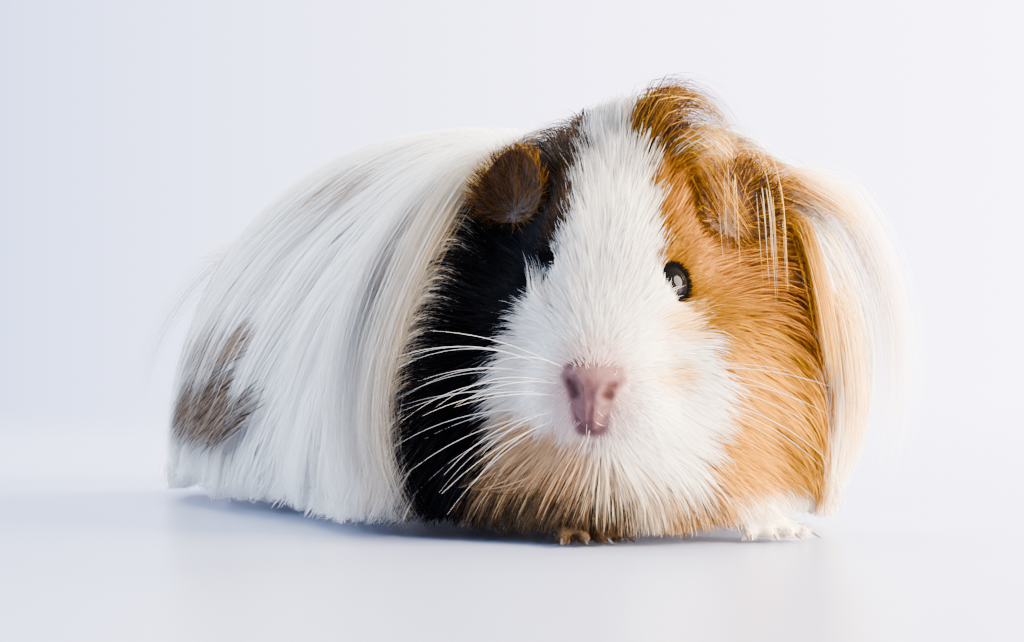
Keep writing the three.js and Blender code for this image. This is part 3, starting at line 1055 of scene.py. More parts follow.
def ear_finish():
    finish = Finish("ear skin")
    blotch = finish.noise(240, 3).between(0.35, 0.7)
    colour = finish.attribute("coat_colour", "Color")
    colour = finish.mix(blotch, colour, finish.mix(1.0, colour, (0.5, 0.45, 0.42), "MULTIPLY"))
    creases = finish.bump(finish.noise(1500, 4) + finish.noise(420, 2), 0.5, 0.0005)
    skin_side = finish.surface(Base_Color=colour, Roughness=0.6, Normal=creases, Specular_IOR_Level=0.2)
    through = finish.node("ShaderNodeBsdfTranslucent", (), {"Color": (0.22, 0.06, 0.03, 1)}).outputs[0]
    return finish.done(finish.blend(0.15, skin_side, through))


def horn_finish(name, pale, deep):
    finish = Finish(name)
    streaks = finish.noise(1800, 2).between(0.3, 0.7)
    colour = finish.mix(streaks, pale, deep)
    return finish.done(finish.surface(Base_Color=colour, Roughness=0.38, Coat_Weight=0.2))


def add_ear(name, finish):
    ear = copy_of(f"{name}_petal", [name])
    apply(ear, "SUBSURF", levels=2, render_levels=2)
    points = corners(ear)
    spread = np.linalg.norm((points - points.mean(0)) / np.ptp(points, axis=0), axis=1)
    set_colour(ear, laid_over(EAR_DARK[name], EAR_RIM[name], step(0.3, 0.6, spread)))
    ear.data.materials.append(finish)
    smooth(ear)
    finish_piece(ear, "ear_skin", name)
    return ear


def claws_of(leg):
    return [name for name in CLAWS if name.startswith(leg.replace("leg", ""))]


def add_claws(leg, finish):
    nodes = claws_of(leg)
    claws = copy_of(f"claws_{leg}", nodes)
    apply(claws, "SUBSURF", levels=2, render_levels=2)
    claws.data.materials.append(finish)
    smooth(claws)
    finish_piece(claws, "claw", *nodes)


petal = ear_finish()
ears = {name: add_ear(name, petal) for name in ("left_ear", "right_ear")}
pale_horn = horn_finish("pale horn", (0.50, 0.38, 0.28), (0.32, 0.22, 0.15))
dark_horn = horn_finish("dark horn", (0.035, 0.022, 0.015), (0.015, 0.010, 0.008))
for leg in LEGS:
    add_claws(leg, dark_horn if leg == "right_foreleg" else pale_horn)
print("two ears and", len(CLAWS), "claws")

# %% [markdown]
# Whiskers spring in rows from the pads on both sides of the nose, more of them on the right. Each is
# a stiff bristle that leaves the pad sideways and forwards, and bends down under its own weight. A
# curve with a round bevel and a thinning radius gives the tapered bristle, and is then turned into
# mesh.

# %% Whiskers
WHISKER_ROWS = {1: 3, -1: 5}
WHISKER_RADIUS = 0.075
WHISKER_FLOOR = 1
BRISTLE_POINTS = 9
WHISKER_COLOUR = (0.86, 0.84, 0.82)
CHANCE = np.random.default_rng(4)


def whisker_finish():
    finish = Finish("whisker")
    return finish.done(finish.surface(Base_Color=(*WHISKER_COLOUR, 1), Roughness=0.35,
                                      Specular_IOR_Level=0.3))


def bristle(curve, root, direction, length, droop):
    """Adds one thinning strand to the curve."""
    strand = curve.splines.new("NURBS")
    steps = BRISTLE_POINTS - 1
    strand.points.add(steps)
    strand.use_endpoint_u = True
    at, heading = root, direction
    for i, point in enumerate(strand.points):
        point.co = (*(at * MM), 1)
        point.radius = 1 - 0.88 * i / steps
        at = at + heading * length / steps
        heading = unit(heading + np.array([0, 0, -droop]))
        at[2] = max(at[2], WHISKER_FLOOR)


def add_whiskers():
    tree = BVHTree.FromObject(skin, bpy.context.evaluated_depsgraph_get())
    curve = bpy.data.curves.new("whiskers", "CURVE")
    curve.dimensions = "3D"
    curve.bevel_depth = WHISKER_RADIUS * MM
    curve.bevel_resolution = 0
    curve.resolution_u = 2
    for side in (1, -1):
        for row in range(WHISKER_ROWS[side]):
            for column in range(5):
                place = (side * (8 + 1.3 * column), -21 + 2.8 * column, -21.5 - 3.0 * row)
                place = np.array(place) + CHANCE.normal(size=3) * 0.5
                root, normal = nearest_on(tree, from_head(place))
                aim = head_vector((side * 1.0, -0.30 + 0.22 * column, 0.30 - 0.16 * row))
                aim = unit(aim + 0.5 * normal + CHANCE.normal(size=3) * 0.08)
                length = (24 + 5 * column) * CHANCE.uniform(0.8, 1.15)
                bristle(curve, root - 0.5 * normal, aim, length, CHANCE.uniform(0.05, 0.13))
    select_only(new_piece("whiskers", curve))
    bpy.ops.object.convert(target="MESH")
    whiskers = bpy.context.object
    whiskers.data.materials.append(whisker_finish())
    smooth(whiskers)
    finish_piece(whiskers, "face_fur")
    return whiskers


whiskers = add_whiskers()
print("whiskers:", len(whiskers.data.polygons), "faces")

# %% [markdown]
# The coat is made of ribbons: each is a thin lock of a few hairs, with a root on the skin, a path
# that follows the lie of the coat, and a tapering tip. Roots are scattered over the skin at random,
# closest on the face, where the hair is finest. Hardly any grow on the bare nose, and none in the
# nostrils and eyes, or under the belly, which rests on the floor.

# %% Roots on the skin
RNG = np.random.default_rng(20)


def triangles_of(piece):
    mesh = piece.data
    mesh.calc_loop_triangles()
    count = len(mesh.loop_triangles)
    found, loops = np.empty(count * 3, np.int32), np.empty(count * 3, np.int32)
    mesh.loop_triangles.foreach_get("vertices", found)
    mesh.loop_triangles.foreach_get("loops", loops)
    return found.reshape(-1, 3), loops.reshape(-1, 3)


def unwrap(piece):
    """Flattens the skin itself into many flat islands, and returns the place of each face corner."""
    select_only(piece)
    bpy.ops.object.mode_set(mode="EDIT")
    bpy.ops.mesh.select_all(action="SELECT")
    bpy.ops.uv.smart_project(angle_limit=math.radians(66), island_margin=0.002)
    bpy.ops.object.mode_set(mode="OBJECT")
    flat = np.empty(len(piece.data.loops) * 2)
    piece.data.uv_layers.active.data.foreach_get("uv", flat)
    return flat.reshape(-1, 2)


class Scatter:
    """Random roots on a piece, more of them where the density is higher."""

    def __init__(self, piece):
        self.points, self.normals = corners(piece), corner_normals(piece)
        self.flat = unwrap(piece)
        self.faces, self.loops = triangles_of(piece)
        a, b, c = (self.points[self.faces[:, i]] for i in range(3))
        self.areas = np.linalg.norm(np.cross(b - a, c - a), axis=1) / 2
        self.centres = (a + b + c) / 3
        self.facing = unit(np.cross(b - a, c - a))
        self.tree = KDTree(len(self.centres))
        for i, centre in enumerate(self.centres):
            self.tree.insert(centre, i)
        self.tree.balance()

    def nearest(self, places):
        """Root, normal and unwrapped place of the face nearest to each place."""
        found = np.array([self.tree.find(place)[1] for place in places])
        return self.centres[found], self.facing[found], self.flat[self.loops[found]].mean(1)

    def roots(self, count, density):
        weight = self.areas * density
        chosen = RNG.choice(len(weight), count, p=weight / weight.sum())
        spot = np.sort(RNG.random((count, 2)), axis=1)
        share = np.column_stack([spot[:, 0], spot[:, 1] - spot[:, 0], 1 - spot[:, 1]])[:, :, None]
        face = self.faces[chosen]
        place = (self.points[face] * share).sum(1)
        normal = unit((self.normals[face] * share).sum(1))
        return place, normal, (self.flat[self.loops[chosen]] * share).sum(1)


ground = Scatter(skin)
print("skin area", round(ground.areas.sum() / 100), "square cm")

# %% [markdown]
# The lie of the coat is a field of directions. On the face hair streams away from the nose. Behind it
# the mane parts along the nape and falls outwards. Along the back it parts at the spine and
# sweeps backwards and down the flanks.

# %% Lie of the coat
DOWN = np.array([0, 0, -1.0])
SPINE_FROM_HEAD = 6.0


def parting(points):
    """-1 on the animal's right of the parting along nape and spine, 1 on its left."""
    line = mix(FACE[0] + SPINE_FROM_HEAD, 0, step(FACE[1] + 20, FACE[1] + 110, points[:, 1]))
    return np.tanh((points[:, 0] - line) / 9)


def face_share(points):
    """1 on the face and crown, 0 in the mane that frames it and on the body."""
    h, _, past_right, past_left = face_edges(points)
    front = 1 - step(14, 34, h[:, 1] - 0.25 * np.maximum(0, h[:, 2]))
    return front * (1 - step(-5, 4, np.maximum(past_right, past_left)))


def round_the_eyes(flow, h):
    """Turns hair that would lie over an eye aside, so that it frames the lids."""
    for centre in EYE_CENTRES:
        away = h - centre
        near = 1 - step(EYE_RADIUS + 2, EYE_RADIUS + 7, np.linalg.norm(away, axis=-1))
        away = head_vector(unit(away))
        inward = np.minimum(0, dot(flow, away))
        flow = flow - away * ((inward - 0.35) * near)[:, None]
    return flow


def groom(points, outward):
    """Direction in which the coat lies, along the surface."""
    h = to_head(points)
    side = parting(points)[:, None]
    from_nose = h - (NOSE_TIP + (0, -4, 2))
    from_nose[:, 2] *= 1.1
    face = head_vector(unit(from_nose))
    drop = np.abs(h[:, 0:1]) / 40
    face = face + DOWN * 0.5 * np.clip(drop, 0, 1) + DOWN * 0.35 * step(-30, -50, h[:, 2])[:, None]
    aside = mix(0.08, 0.85, step(60, 105, points[:, 2:3]))
    mane = side * aside * (1, 0, 0) + (0, 0.05, -0.6)
    back = side * (0.6, 0, 0) + (0, 0.85, -0.35)
    rump = side * (0.25, 0, 0) + (0, 0.75, -0.75)
    flow = mix(unit(mane), unit(back), step(FACE[1] + 40, FACE[1] + 110, points[:, 1])[:, None])
    flow = mix(flow, rump, step(FACE[1] + 190, FACE[1] + 240, points[:, 1])[:, None])
    flow = mix(unit(flow), unit(face), face_share(points)[:, None])
    flow = round_the_eyes(flow, h)
    flow = flow + 0.14 * np.column_stack([wobble(points, 30, seed) for seed in (11, 12, 13)])
    return unit(flow - outward * dot(flow, outward)[:, None])


print("hair on the crown lies along", groom(sample[1:2], np.array([[0, 0, 1.0]])).round(1)[0])

# %% [markdown]
# Length follows the same map: a millimetre or two at the nose, up to about eight on the blaze, and
# longest where the mane and flanks hang to the floor. Short hair grows closest together, as on the
# animal, and none grows where it would poke into an eye or a nostril.

# %% Length and density
LONGEST, LONGEST_RUMP = 130, 85
BLAZE_LONG, CROWN_LONG, CHEST_LONG = 8.5, 19, 13
# Lengths on the face, by the distance from the nose.
FACE_LENGTHS = ((6, 10, 16, 26, 40, 54, 70), (1.3, 2.0, 3.4, 5.5, 8.5, 15, 27))
EYE_CLEAR = EYE_RADIUS + 1.6


def lengths(points):
    h = to_head(points)
    from_nose = np.linalg.norm(h - NOSE_CENTRE, axis=1)
    face = np.interp(from_nose, *FACE_LENGTHS)
    blaze = (1 - step(9, 18, np.abs(h[:, 0]))) * step(-8, 5, h[:, 2])
    face = mix(face, np.minimum(face, BLAZE_LONG), blaze * (1 - step(28, 40, h[:, 2])))
    crown = step(24, 42, h[:, 2]) * (1 - step(20, 40, h[:, 1]))
    face = mix(face, CROWN_LONG, crown)
    body = np.minimum(12 + 1.3 * points[:, 2], LONGEST)
    body = np.minimum(body, mix(LONGEST, LONGEST_RUMP, step(60, 110, points[:, 1])))
    chest = (1 - step(5, 24, h[:, 1])) * step(-36, -48, h[:, 2])
    long = mix(body, CHEST_LONG, chest)
    found = mix(long, face, face_share(points) * (1 - chest))
    paw = over_foot(points, "left_foreleg") * (1 - step(20, 30, points[:, 2]))
    found = mix(found, np.minimum(found, 3 + 0.45 * points[:, 2]), paw)
    lids = 1.3 + 0.8 * np.maximum(0, eye_distance(h) - EYE_RADIUS - 1)
    return np.minimum(found, lids)


def foot_share(points):
    """1 on the feet, which stand out under the coat."""
    low = 1 - step(8, 13, points[:, 2])
    inside = step(1.5, 5, coat_depth(points) + field.distance(points))
    return low * inside


def density(points, facing):
    """Roots wanted at each place, in proportion."""
    h = to_head(points)
    wanted = 1 / np.clip(lengths(points), 2.2, 60)
    belly = step(0.3, 0.7, -facing[:, 2]) * (1 - step(26, 34, points[:, 2])) * (h[:, 1] > 12)
    wanted = wanted * (1 - belly) * (points[:, 2] > 0.6)
    bare = nose_mask(h) * (1 - 0.7 * step(-22, -17, h[:, 2]))
    wanted = wanted * (1 - 0.93 * bare) ** 2
    for side in (1, -1):
        round_rim, reach, _ = opening(h, side)
        wanted = wanted * ~((reach < EYE_CLEAR) & (round_rim < 1.04))
    nostril = (h[:, 1] < -12) & (nostril_gap(h) < 2)
    return wanted * ~nostril


wanted = density(ground.centres, ground.facing)
print("lengths from", lengths(ground.centres[wanted > 0]).min().round(1), "to",
      lengths(ground.centres).max().round(), "mm")

# %% [markdown]
# A lock grows step by step: it leaves the skin at a slant, turns into the lie of the coat, sags under
# its own weight, and settles at its own level between skin and envelope. Hair from near the parting
# lies uppermost and reaches the floor, as it does on the living animal, and the hair rooted lower
# down lies beneath it. On the crown some locks stand free of the others.

# %% Growth
RISE = 18


def grow(roots, normals, segments, lie):
    """Paths of shape (locks, segments + 1, 3)."""
    long, level, loose, slant = (lie[key] for key in ("long", "level", "loose", "slant"))
    out = field.outward(roots)
    outwards = unit(normals + out)
    direction = unit(groom(roots, outwards) * np.cos(slant)[:, None] + outwards * np.sin(slant)[:, None])
    drift = RNG.normal(size=roots.shape) * loose[:, None]
    floor = 0.3 + 1.3 * RNG.random(len(roots))
    rise = np.minimum(0.45, RISE / long)
    buried = -field.distance(roots)
    at, path = roots.copy(), [roots]
    for index in range(segments):
        s = (index + 1) / segments
        out = field.outward(at)
        out[:, 2] = np.maximum(out[:, 2], -0.15)
        out = unit(out)
        hang = (lie["sag"] * s**0.6)[:, None]
        aim = groom(at, out) * (1 - hang) + DOWN * hang + drift * s
        aim = unit(aim - out * dot(aim, out)[:, None])
        direction = unit(mix(direction, aim, 0.5 if segments > 4 else 0.65))
        above = np.clip((at[:, 2] - floor) / 9, 0, 1)
        pace = long / segments * mix(0.25 + 0.75 * above, 1, step(-0.2, 0.3, direction[:, 2]))
        at = at + direction * pace[:, None]
        depth = np.maximum(np.minimum(coat_depth(at), 1.3 * buried), buried * (1 - s))
        aimed = lie["above"] * s - depth * (1 - level * np.minimum(1, s / rise))
        error = np.clip(aimed - field.distance(at), -0.6 * pace, 0.5 * pace)
        at = at + out * (error * (1 - loose) ** 2)[:, None]
        at[:, 2] = np.maximum(at[:, 2], floor)
        path.append(at)
    return np.stack(path, axis=1)


def ring_shares(rings):
    """The share of a lock's length at each ring, shaped to multiply paths."""
    return np.linspace(0, 1, rings)[None, :, None]


def gather(paths, spacing, pull):
    """Draws the tips of neighbouring locks towards a leader, as hair clings together."""
    roots = paths[:, 0]
    leaders = RNG.choice(len(roots), max(1, int(len(roots) / spacing)), replace=False)
    tree = KDTree(len(leaders))
    for i, leader in enumerate(leaders):
        tree.insert(roots[leader], i)
    tree.balance()
    lead = leaders[[tree.find(root)[1] for root in roots]]
    share = pull[:, None, None] * ring_shares(paths.shape[1]) ** 1.4
    return paths + (paths[lead] - paths) * share


print("locks can be grown and gathered")

# %% [markdown]
# Hair is satin, and light glows through it where it is pale. Three finishes are enough, for white,
# ginger and dark hair; the colour itself is stored on each lock.

# %% Finishes of the hair
DARK_BELOW = 0.11
# Each tint has the colour and share of the light that glows through, its roughness and its shine.
TINTS = {
    "white": ((0.92, 0.88, 0.84), 0.4, 0.55, 0.15),
    "ginger": (GINGER_PALE, 0.25, 0.5, 0.0),
    "dark": ((0.02, 0.01, 0.005), 0.0, 0.6, 0.012),
}


def hair_finish(name):
    """Hair of one tint: a satin surface, with light glowing through where it is pale."""
    glow, share, rough, shine = TINTS[name]
    finish = Finish(f"{name} hair")
    streak = finish.noise(1400, 2).between(0.25, 0.8)
    colour = finish.attribute("coat_colour", "Color")
    colour = finish.mix(0.25 * streak, colour, finish.mix(1.0, colour, (0.72, 0.66, 0.62), "MULTIPLY"))
    shader = finish.surface(Base_Color=colour, Roughness=rough, Specular_IOR_Level=shine)
    if share:
        through = finish.node("ShaderNodeBsdfTranslucent", (), {"Color": (*glow, 1)}).outputs[0]
        shader = finish.blend(share, shader, through)
    return finish.done(shader)


def tint_of(colours):
    """The finish that suits each colour: the blue share tells ginger hair from white."""
    warm = np.where(colours[:, 2] < 0.45 * colours[:, 0], "ginger", "white")
    return np.where(colours.max(1) < DARK_BELOW, "dark", warm)


HAIR = {name: hair_finish(name) for name in TINTS}
print("hair finishes:", ", ".join(HAIR))

# %% [markdown]
# Ribbons are written straight into mesh arrays, because there are far too many for any modelling
# tool. Each lock's two edges lie on either side of its path, at a random roll, and end in one
# point. Every lock has its own small patch in the map named OFBake, at the place of its root on
# the unwrapped skin.

# %% Ribbons
PATCH = 0.003
TAPER = ((0, 0.15, 0.55, 1), (0.7, 1.0, 0.85, 0.12))


def ribbon_arrays(paths, widths, roll):
    count, rings = paths.shape[0], paths.shape[1]
    tangent = unit(np.gradient(paths, axis=1))
    out = field.outward(paths.reshape(-1, 3)).reshape(paths.shape)
    across = unit(np.cross(tangent, out))
    up = unit(np.cross(across, tangent))
    across = across * np.cos(roll)[:, None, None] + up * np.sin(roll)[:, None, None]
    taper = np.interp(np.linspace(0, 1, rings), *TAPER)
    half = across * (widths[:, None] * taper[None, :] / 2)[:, :, None]
    left, right = paths[:, :-1] - half[:, :-1], paths[:, :-1] + half[:, :-1]
    sides = np.stack([left, right], axis=2).reshape(count, -1, 3)
    return np.concatenate([sides, paths[:, -1:]], axis=1)


def ribbon_faces(rings):
    """Corner numbers of one ribbon's quads and its last triangle."""
    quads = [(2 * i, 2 * i + 1, 2 * i + 3, 2 * i + 2) for i in range(rings - 2)]
    last = 2 * (rings - 2)
    return quads, (last, last + 1, last + 2)


def write_ribbons(name, points, colours, flat, rings, tint):
    """One mesh piece of ribbons with their colours and bake patches."""
    count, each = points.shape[:2]
    quads, end = ribbon_faces(rings)
    pattern = np.array([corner for quad in quads for corner in quad] + list(end))
    loops = (np.arange(count)[:, None] * each + pattern[None, :]).ravel()
    sizes = np.tile([4] * len(quads) + [3], count)
    starts = np.concatenate([[0], np.cumsum(sizes)[:-1]])
    mesh = bpy.data.meshes.new(name)
    mesh.vertices.add(count * each)
    mesh.vertices.foreach_set("co", (points * MM).ravel())
    mesh.loops.add(len(loops))
    mesh.loops.foreach_set("vertex_index", loops)
    mesh.polygons.add(len(sizes))
    mesh.polygons.foreach_set("loop_start", starts)
    mesh.polygons.foreach_set("use_smooth", np.ones(len(sizes), bool))
    mesh.update()
    along = np.append(np.repeat(np.linspace(0, 1, rings)[:-1], 2), 1)
    aside = np.append(np.tile([-0.5, 0.5], rings - 1), 0)
    local = np.column_stack([aside, along - 0.5]) * PATCH
    spread = np.clip(flat[:, None, :] + local[None, :, :], 0, 1).reshape(-1, 2)
    mesh.uv_layers.new(name="OFBake").data.foreach_set("uv", spread[loops].ravel())
    piece = new_piece(name, mesh)
    set_colour(piece, colours.reshape(-1, 3))
    mesh.materials.append(HAIR[tint])
    return piece


print("a ribbon of 5 rings has", len(ribbon_faces(5)[0]), "quads and a triangle")

# %% [markdown]
# A hair keeps the colour of the place where it is rooted, so long hair carries that colour down over
# its neighbours. Each lock reads the markings a little behind the place that it passes, and then
# differs from the next by a chance of its own.

# %% Colour along a lock
COLOUR_LAG = 9
SHADES = (0.001, 0.9)


def colour_places(paths, long):
    """Where each ring takes its colour: short hair all from one place, long hair as it passes."""
    rings = paths.shape[1]
    s = np.linspace(0, 1, rings)[None, :]
    passing = np.clip(s - COLOUR_LAG / long[:, None], 0.08, 1)
    at = mix(0.4, passing, step(18, 36, long)[:, None]) * (rings - 1)
    low = np.minimum(at.astype(int), rings - 2)
    rows = np.arange(len(paths))[:, None]
    places = mix(paths[rows, low], paths[rows, low + 1], (at - low)[:, :, None])
    return places + RNG.normal(size=(len(paths), 1, 3)) * 1.0


def lock_colours(paths, long):
    """Colour along each lock, from the markings under it, with roots darkened as painted shade and ticked
    tips.
    """
    count, rings = paths.shape[:2]
    colour, tick = markings(colour_places(paths, long).reshape(-1, 3))
    colour, tick = colour.reshape(count, rings, 3), tick.reshape(count, rings).mean(1)
    mean = colour.mean(1)
    pale = step(0.25, 0.7, mean.max(1))[:, None]
    black = 1 - step(0.01, 0.05, mean.max(1))[:, None]
    tan = (step(0.25, 0.4, mean[:, 2] / mean[:, 0]) * step(0.01, 0.03, mean.max(1)))[:, None]
    tone = np.exp(mix(mix(0.34, 0.75, np.maximum(black, tan)), 0.09, pale) * RNG.normal(size=(count, 1)))
    warm = 1 + 0.04 * RNG.normal(size=(count, 1)) * np.array([1, 0, -1.5])
    colour = np.clip(colour * (tone * warm)[:, None, :], *SHADES)
    s = ring_shares(rings)
    # Painted shade deep in the coat: each lock darkens towards its root, most where it is not pale.
    found = colour * mix(mix(0.6, 0.9, pale[:, :, None]), 1.0, step(0, 0.35, s))
    ticked = (RNG.random(count) < tick * 0.9)[:, None, None]
    band = step(0.35, 0.65, s + 0.12 * RNG.normal(size=(count, 1, 1)))
    found = mix(found, np.broadcast_to(TICK, found.shape), ticked * band * 0.93)
    return found, np.where(ticked[:, 0, 0] & (tick > 0.5), "dark", tint_of(mean))


print("locks follow the markings", COLOUR_LAG, "mm behind")

# %% [markdown]
# A batch of locks becomes a few pieces, one or more for each finish, since a very large mesh is slow
# to handle.

# %% Writing locks
PIECE_LIMIT = 190000
COAT_PIECES = []


def write_locks(name, paths, lie, flat, found, tint):
    """Writes a batch of locks, one set of pieces for each tint."""
    rings = paths.shape[1]
    colours = np.concatenate([np.repeat(found[:, :-1], 2, axis=1), found[:, -1:]], axis=1)
    points = ribbon_arrays(paths, lie["width"], lie["roll"])
    limit = PIECE_LIMIT // (2 * rings - 3)
    for shade in TINTS:
        chosen = np.flatnonzero(tint == shade)
        for part, start in enumerate(range(0, len(chosen), limit)):
            pick = chosen[start:start + limit]
            piece = write_ribbons(f"{name}_{shade}_{part + 1}", points[pick], colours[pick],
                                  flat[pick], rings, shade)
            finish_piece(piece, "face_fur" if "face" in name else "coat")
            COAT_PIECES.append(piece)


def add_locks(name, roots, normals, flat, segments, lie):
    """Grows, gathers and writes a batch of locks."""
    paths = grow(roots, normals, segments, lie)
    for spacing, pull in lie["clumps"]:
        paths = gather(paths, spacing, pull * (1 - lie["loose"]))
    write_locks(name, paths, lie, flat, *lock_colours(paths, lie["long"]))


print("at most", PIECE_LIMIT, "triangles a piece")

# %% [markdown]
# Four lengths of hair make the coat: short fur on the face, locks of middle length on crown, cheeks,
# chin and chest, long hair on the sides of the body, and the longest in the mane and down the
# flanks. Each place has a mix, as the lengths of neighbouring hairs differ.

# %% The coat
LOCKS = 135000
SHORT, MIDDLE, LONG = 9.5, 24, 60
STRAYS = 0.045
# Each batch has its shortest and longest hair, the steps in which it grows, and how it clings
# together: the number of locks to a leader, and the pull towards it.
BATCHES = (
    ("face_short", 0, SHORT, 3, ((10, 0.5),)),
    ("middle", SHORT, MIDDLE, 5, ((12, 0.45),)),
    ("long", MIDDLE, LONG, 7, ((120, 0.35), (12, 0.35))),
    ("mane", LONG, 1e3, 10, ((160, 0.35), (14, 0.35))),
)


def plant(count):
    roots, normals, flat = ground.roots(count, wanted)
    long = lengths(roots)
    long = long * np.exp(mix(0.22, 0.10, step(20, 60, long)) * RNG.normal(size=count))
    rump = step(70, 120, roots[:, 1])
    long = long * (1 + mix(0.10, 0.2, rump) * step(20, 60, long) * wobble(roots, 20, 31))
    long = mix(long, np.clip(long, 3.5, 5.5), foot_share(roots))
    return roots, normals, flat, long


def coat_lie(roots, long):
    """How each lock lies, from the place of its root and its length."""
    h = to_head(roots)
    count = len(roots)
    size, body = step(3, 30, long), step(24, 45, long)
    crown = face_share(roots) * step(26, 40, h[:, 2])
    spike = RNG.random(count) < 0.30 * crown
    stray = RNG.random(count) < STRAYS
    short_level = np.clip(RNG.random(count) ** 0.7 + 0.12, 0.15, 1.04)
    long_level = 0.35 + 0.60 * step(12, 84, roots[:, 2]) + 0.06 * RNG.normal(size=count)
    long_level = np.clip(long_level + 0.13 * wobble(roots * (0.5, 1, 0.6), 11, 41), 0.3, 1.1)
    haunch = step(-10, 60, roots[:, 1])
    flyaway = RNG.random(count) < 0.3 * step(60, 120, roots[:, 1])
    above = np.where(spike, RNG.uniform(3, 9, count), np.where(stray, RNG.uniform(0.5, 4, count), 0))
    return {
        "long": long,
        "level": mix(short_level, long_level, body),
        "above": above + np.where(flyaway, RNG.uniform(0, 4.5, count), 0),
        "slant": np.radians(np.clip(mix(24, 34, size) + 30 * crown + 9 * RNG.normal(size=count), 8, 78)),
        "sag": np.clip(mix(0.02, 0.6, size) * (1 - 0.8 * crown) * mix(1, 0.55, haunch), 0, 0.8),
        "loose": np.where(stray | spike, 0.16, mix(0.06, 0.03, body)) + 0.08 * crown,
        "width": mix(0.15, 0.34, size) * RNG.uniform(0.7, 1.3, count),
        "roll": np.radians(mix(28, 13, body) * RNG.uniform(-1, 1, count)),
    }


def add_coat():
    roots, normals, flat, long = plant(LOCKS)
    for name, least, most, segments, clumps in BATCHES:
        chosen = (long >= least) & (long < most)
        lie = coat_lie(roots[chosen], long[chosen])
        lie["clumps"] = [(spacing, np.full(chosen.sum(), pull)) for spacing, pull in clumps]
        add_locks(name, roots[chosen], normals[chosen], flat[chosen], segments, lie)
        print(name, "locks:", int(chosen.sum()))


add_coat()

# %% [markdown]
# Some locks have a place of their own: the tuft that sweeps over the crown towards the left ear,
# strands that fall in front of that ear, the front edge of the mane on both sides, a wisp that curls
# out over the rump, and the hair of the blaze that hides most of the right eye. Each follows a
# guide line, whose few places are given.

# %% Guide lines
BROWN = np.array([0.10, 0.045, 0.016])
# Each lock has its guide line in the head's axes, every place with its lift, then the number of locks,
# their spread at root and tip, the colours of their tips with their shares, and the root's colour.
GUIDES = (
    ("sweep", ((1, 14, 38, 0), (7, 14, 46, 4), (14, 22, 47.5, 5), (21, 26, 43, 4), (26, 26, 37, 2)),
     460, (5.0, 2.0), ((BROWN * 0.4, 0.35), (BROWN * 1.2, 0.43), (HONEY, 0.22)), BROWN * 0.4),
    ("fringe", ((13, 14, 36, 1), (18, 15, 36, 2.5), (23, 17, 34, 3), (27.5, 18, 30, 1.5)),
     150, (3.6, 2.8), ((HONEY * 0.6, 0.5), (CREAM * 0.6, 0.25), (GINGER_PALE * 0.6, 0.25)), GINGER),
    ("forelock", ((17, 24, 43, 1), (22, 20, 40, 4), (26, 14, 32, 5), (27.5, 11, 19, 4), (28.6, 9, 6, 2)),
     14, (2.2, 1.7), ((CREAM * 0.6, 0.5), (HONEY, 0.5)), GINGER_PALE),
    ("forelock_outer", ((25, 28, 40, 1), (33, 24, 35, 4), (37, 18, 24, 4), (39, 13, 8, 3), (41, 13, -6, 1)),
     20, (3.4, 2.8), ((CREAM * 0.6, 0.5), (HONEY, 0.5)), GINGER_PALE),
    ("ear_front", ((15, 12, 33, 0), (20, 11, 28, 2), (26, 11, 21, 3), (32, 13, 12, 2)),
     130, (4.5, 3.6), ((GINGER, 0.45), (GINGER_PALE, 0.1), (BROWN, 0.45)), GINGER),
    ("tuft", ((36, 28, 31, 1), (42, 27, 28, 3), (49, 30, 23, 5), (57, 34, 15, 6)),
     320, (3.6, 1.8), ((GINGER_PALE, 0.25), (HONEY, 0.45), (CREAM, 0.3)), GINGER_PALE),
    ("streak_upper", ((38, 27, 28, 1), (46, 22, 12, 1.5), (51, 20, -6, 1.5), (54, 21, -22, 1)),
     200, (2.2, 1.6), ((GINGER_PALE, 0.5), (HONEY, 0.5)), GINGER),
    ("streak_lower", ((50, 24, 12, 1), (57, 22, -8, 1.5), (61, 23, -26, 1.5), (61, 23, -44, 1)),
     240, (3.0, 2.4), ((HONEY, 0.5), (CREAM, 0.5)), HONEY),
    ("left_mane", ((34, 36, 36, 2), (50, 38, 24, 3), (60, 40, 6, 4), (66, 40, -20, 4.5), (62, 38, -48, 3)),
     520, (5.0, 4.5), ((HONEY, 0.15), (CREAM, 0.35), (WHITE, 0.5)), CREAM),
    # Painted shade: the locks of the right mane and its outer edge are greyed, as that side of the animal
    # stands in shade.
    ("right_mane", ((-26, 43, 42, 0), (-37, 42, 35, 1.5), (-46, 25, 18, 2.5), (-51, 7, -3, 2.5),
                    (-56, 0, -20, 2.5), (-58, -3, -40, 2.5), (-51, -7, -57, 1.5), (-43, -6, -63, 0.5)),
     520, (3.6, 3.0), ((CREAM * 0.3, 0.35), (WHITE * 0.25, 0.35), (WHITE * 0.6, 0.3)), CREAM * 0.5),
    ("right_mane_outer", ((-28, 52, 42, 0), (-42, 52, 32, 1.5), (-53, 37, 12, 2.5), (-58, 20, -10, 2.5),
                          (-62, 10, -34, 2.5), (-60, 6, -52, 2), (-56, 2, -63, 0.5)),
     520, (5.0, 5.0), ((WHITE * 0.8, 0.6), (WHITE * 0.4, 0.4)), WHITE),
    ("wisp", ((-135, 132, 18, 0), (-149, 150, 8, 2), (-158, 152, -12, 9), (-159, 146, -34, 11),
              (-153, 140, -48, 10)),
     170, (4.5, 2.2), ((WHITE * 0.6, 0.5), (WHITE, 0.5)), WHITE),
    ("brow", ((-11, -10, -9, 0.3), (-15, -8.5, -4, 1.0), (-18.5, -6.5, 0.5, 1.4), (-21.5, -4.5, 4.5, 1.4)),
     75, (2.2, 2.0), ((WHITE * 0.5, 0.6), (WHITE * 0.25, 0.4)), WHITE * 0.8),
)
print("guide lines:", len(GUIDES))

# %% [markdown]
# A guide line is first laid on the envelope and then lifted a little, so that its locks lie on the
# coat. The locks start apart at their roots on the skin and draw together towards their tips.

# %% Locks with a place of their own
GUIDE_RINGS = 11


def fewer(count):
    """The number of locks, all of them kept."""
    return count


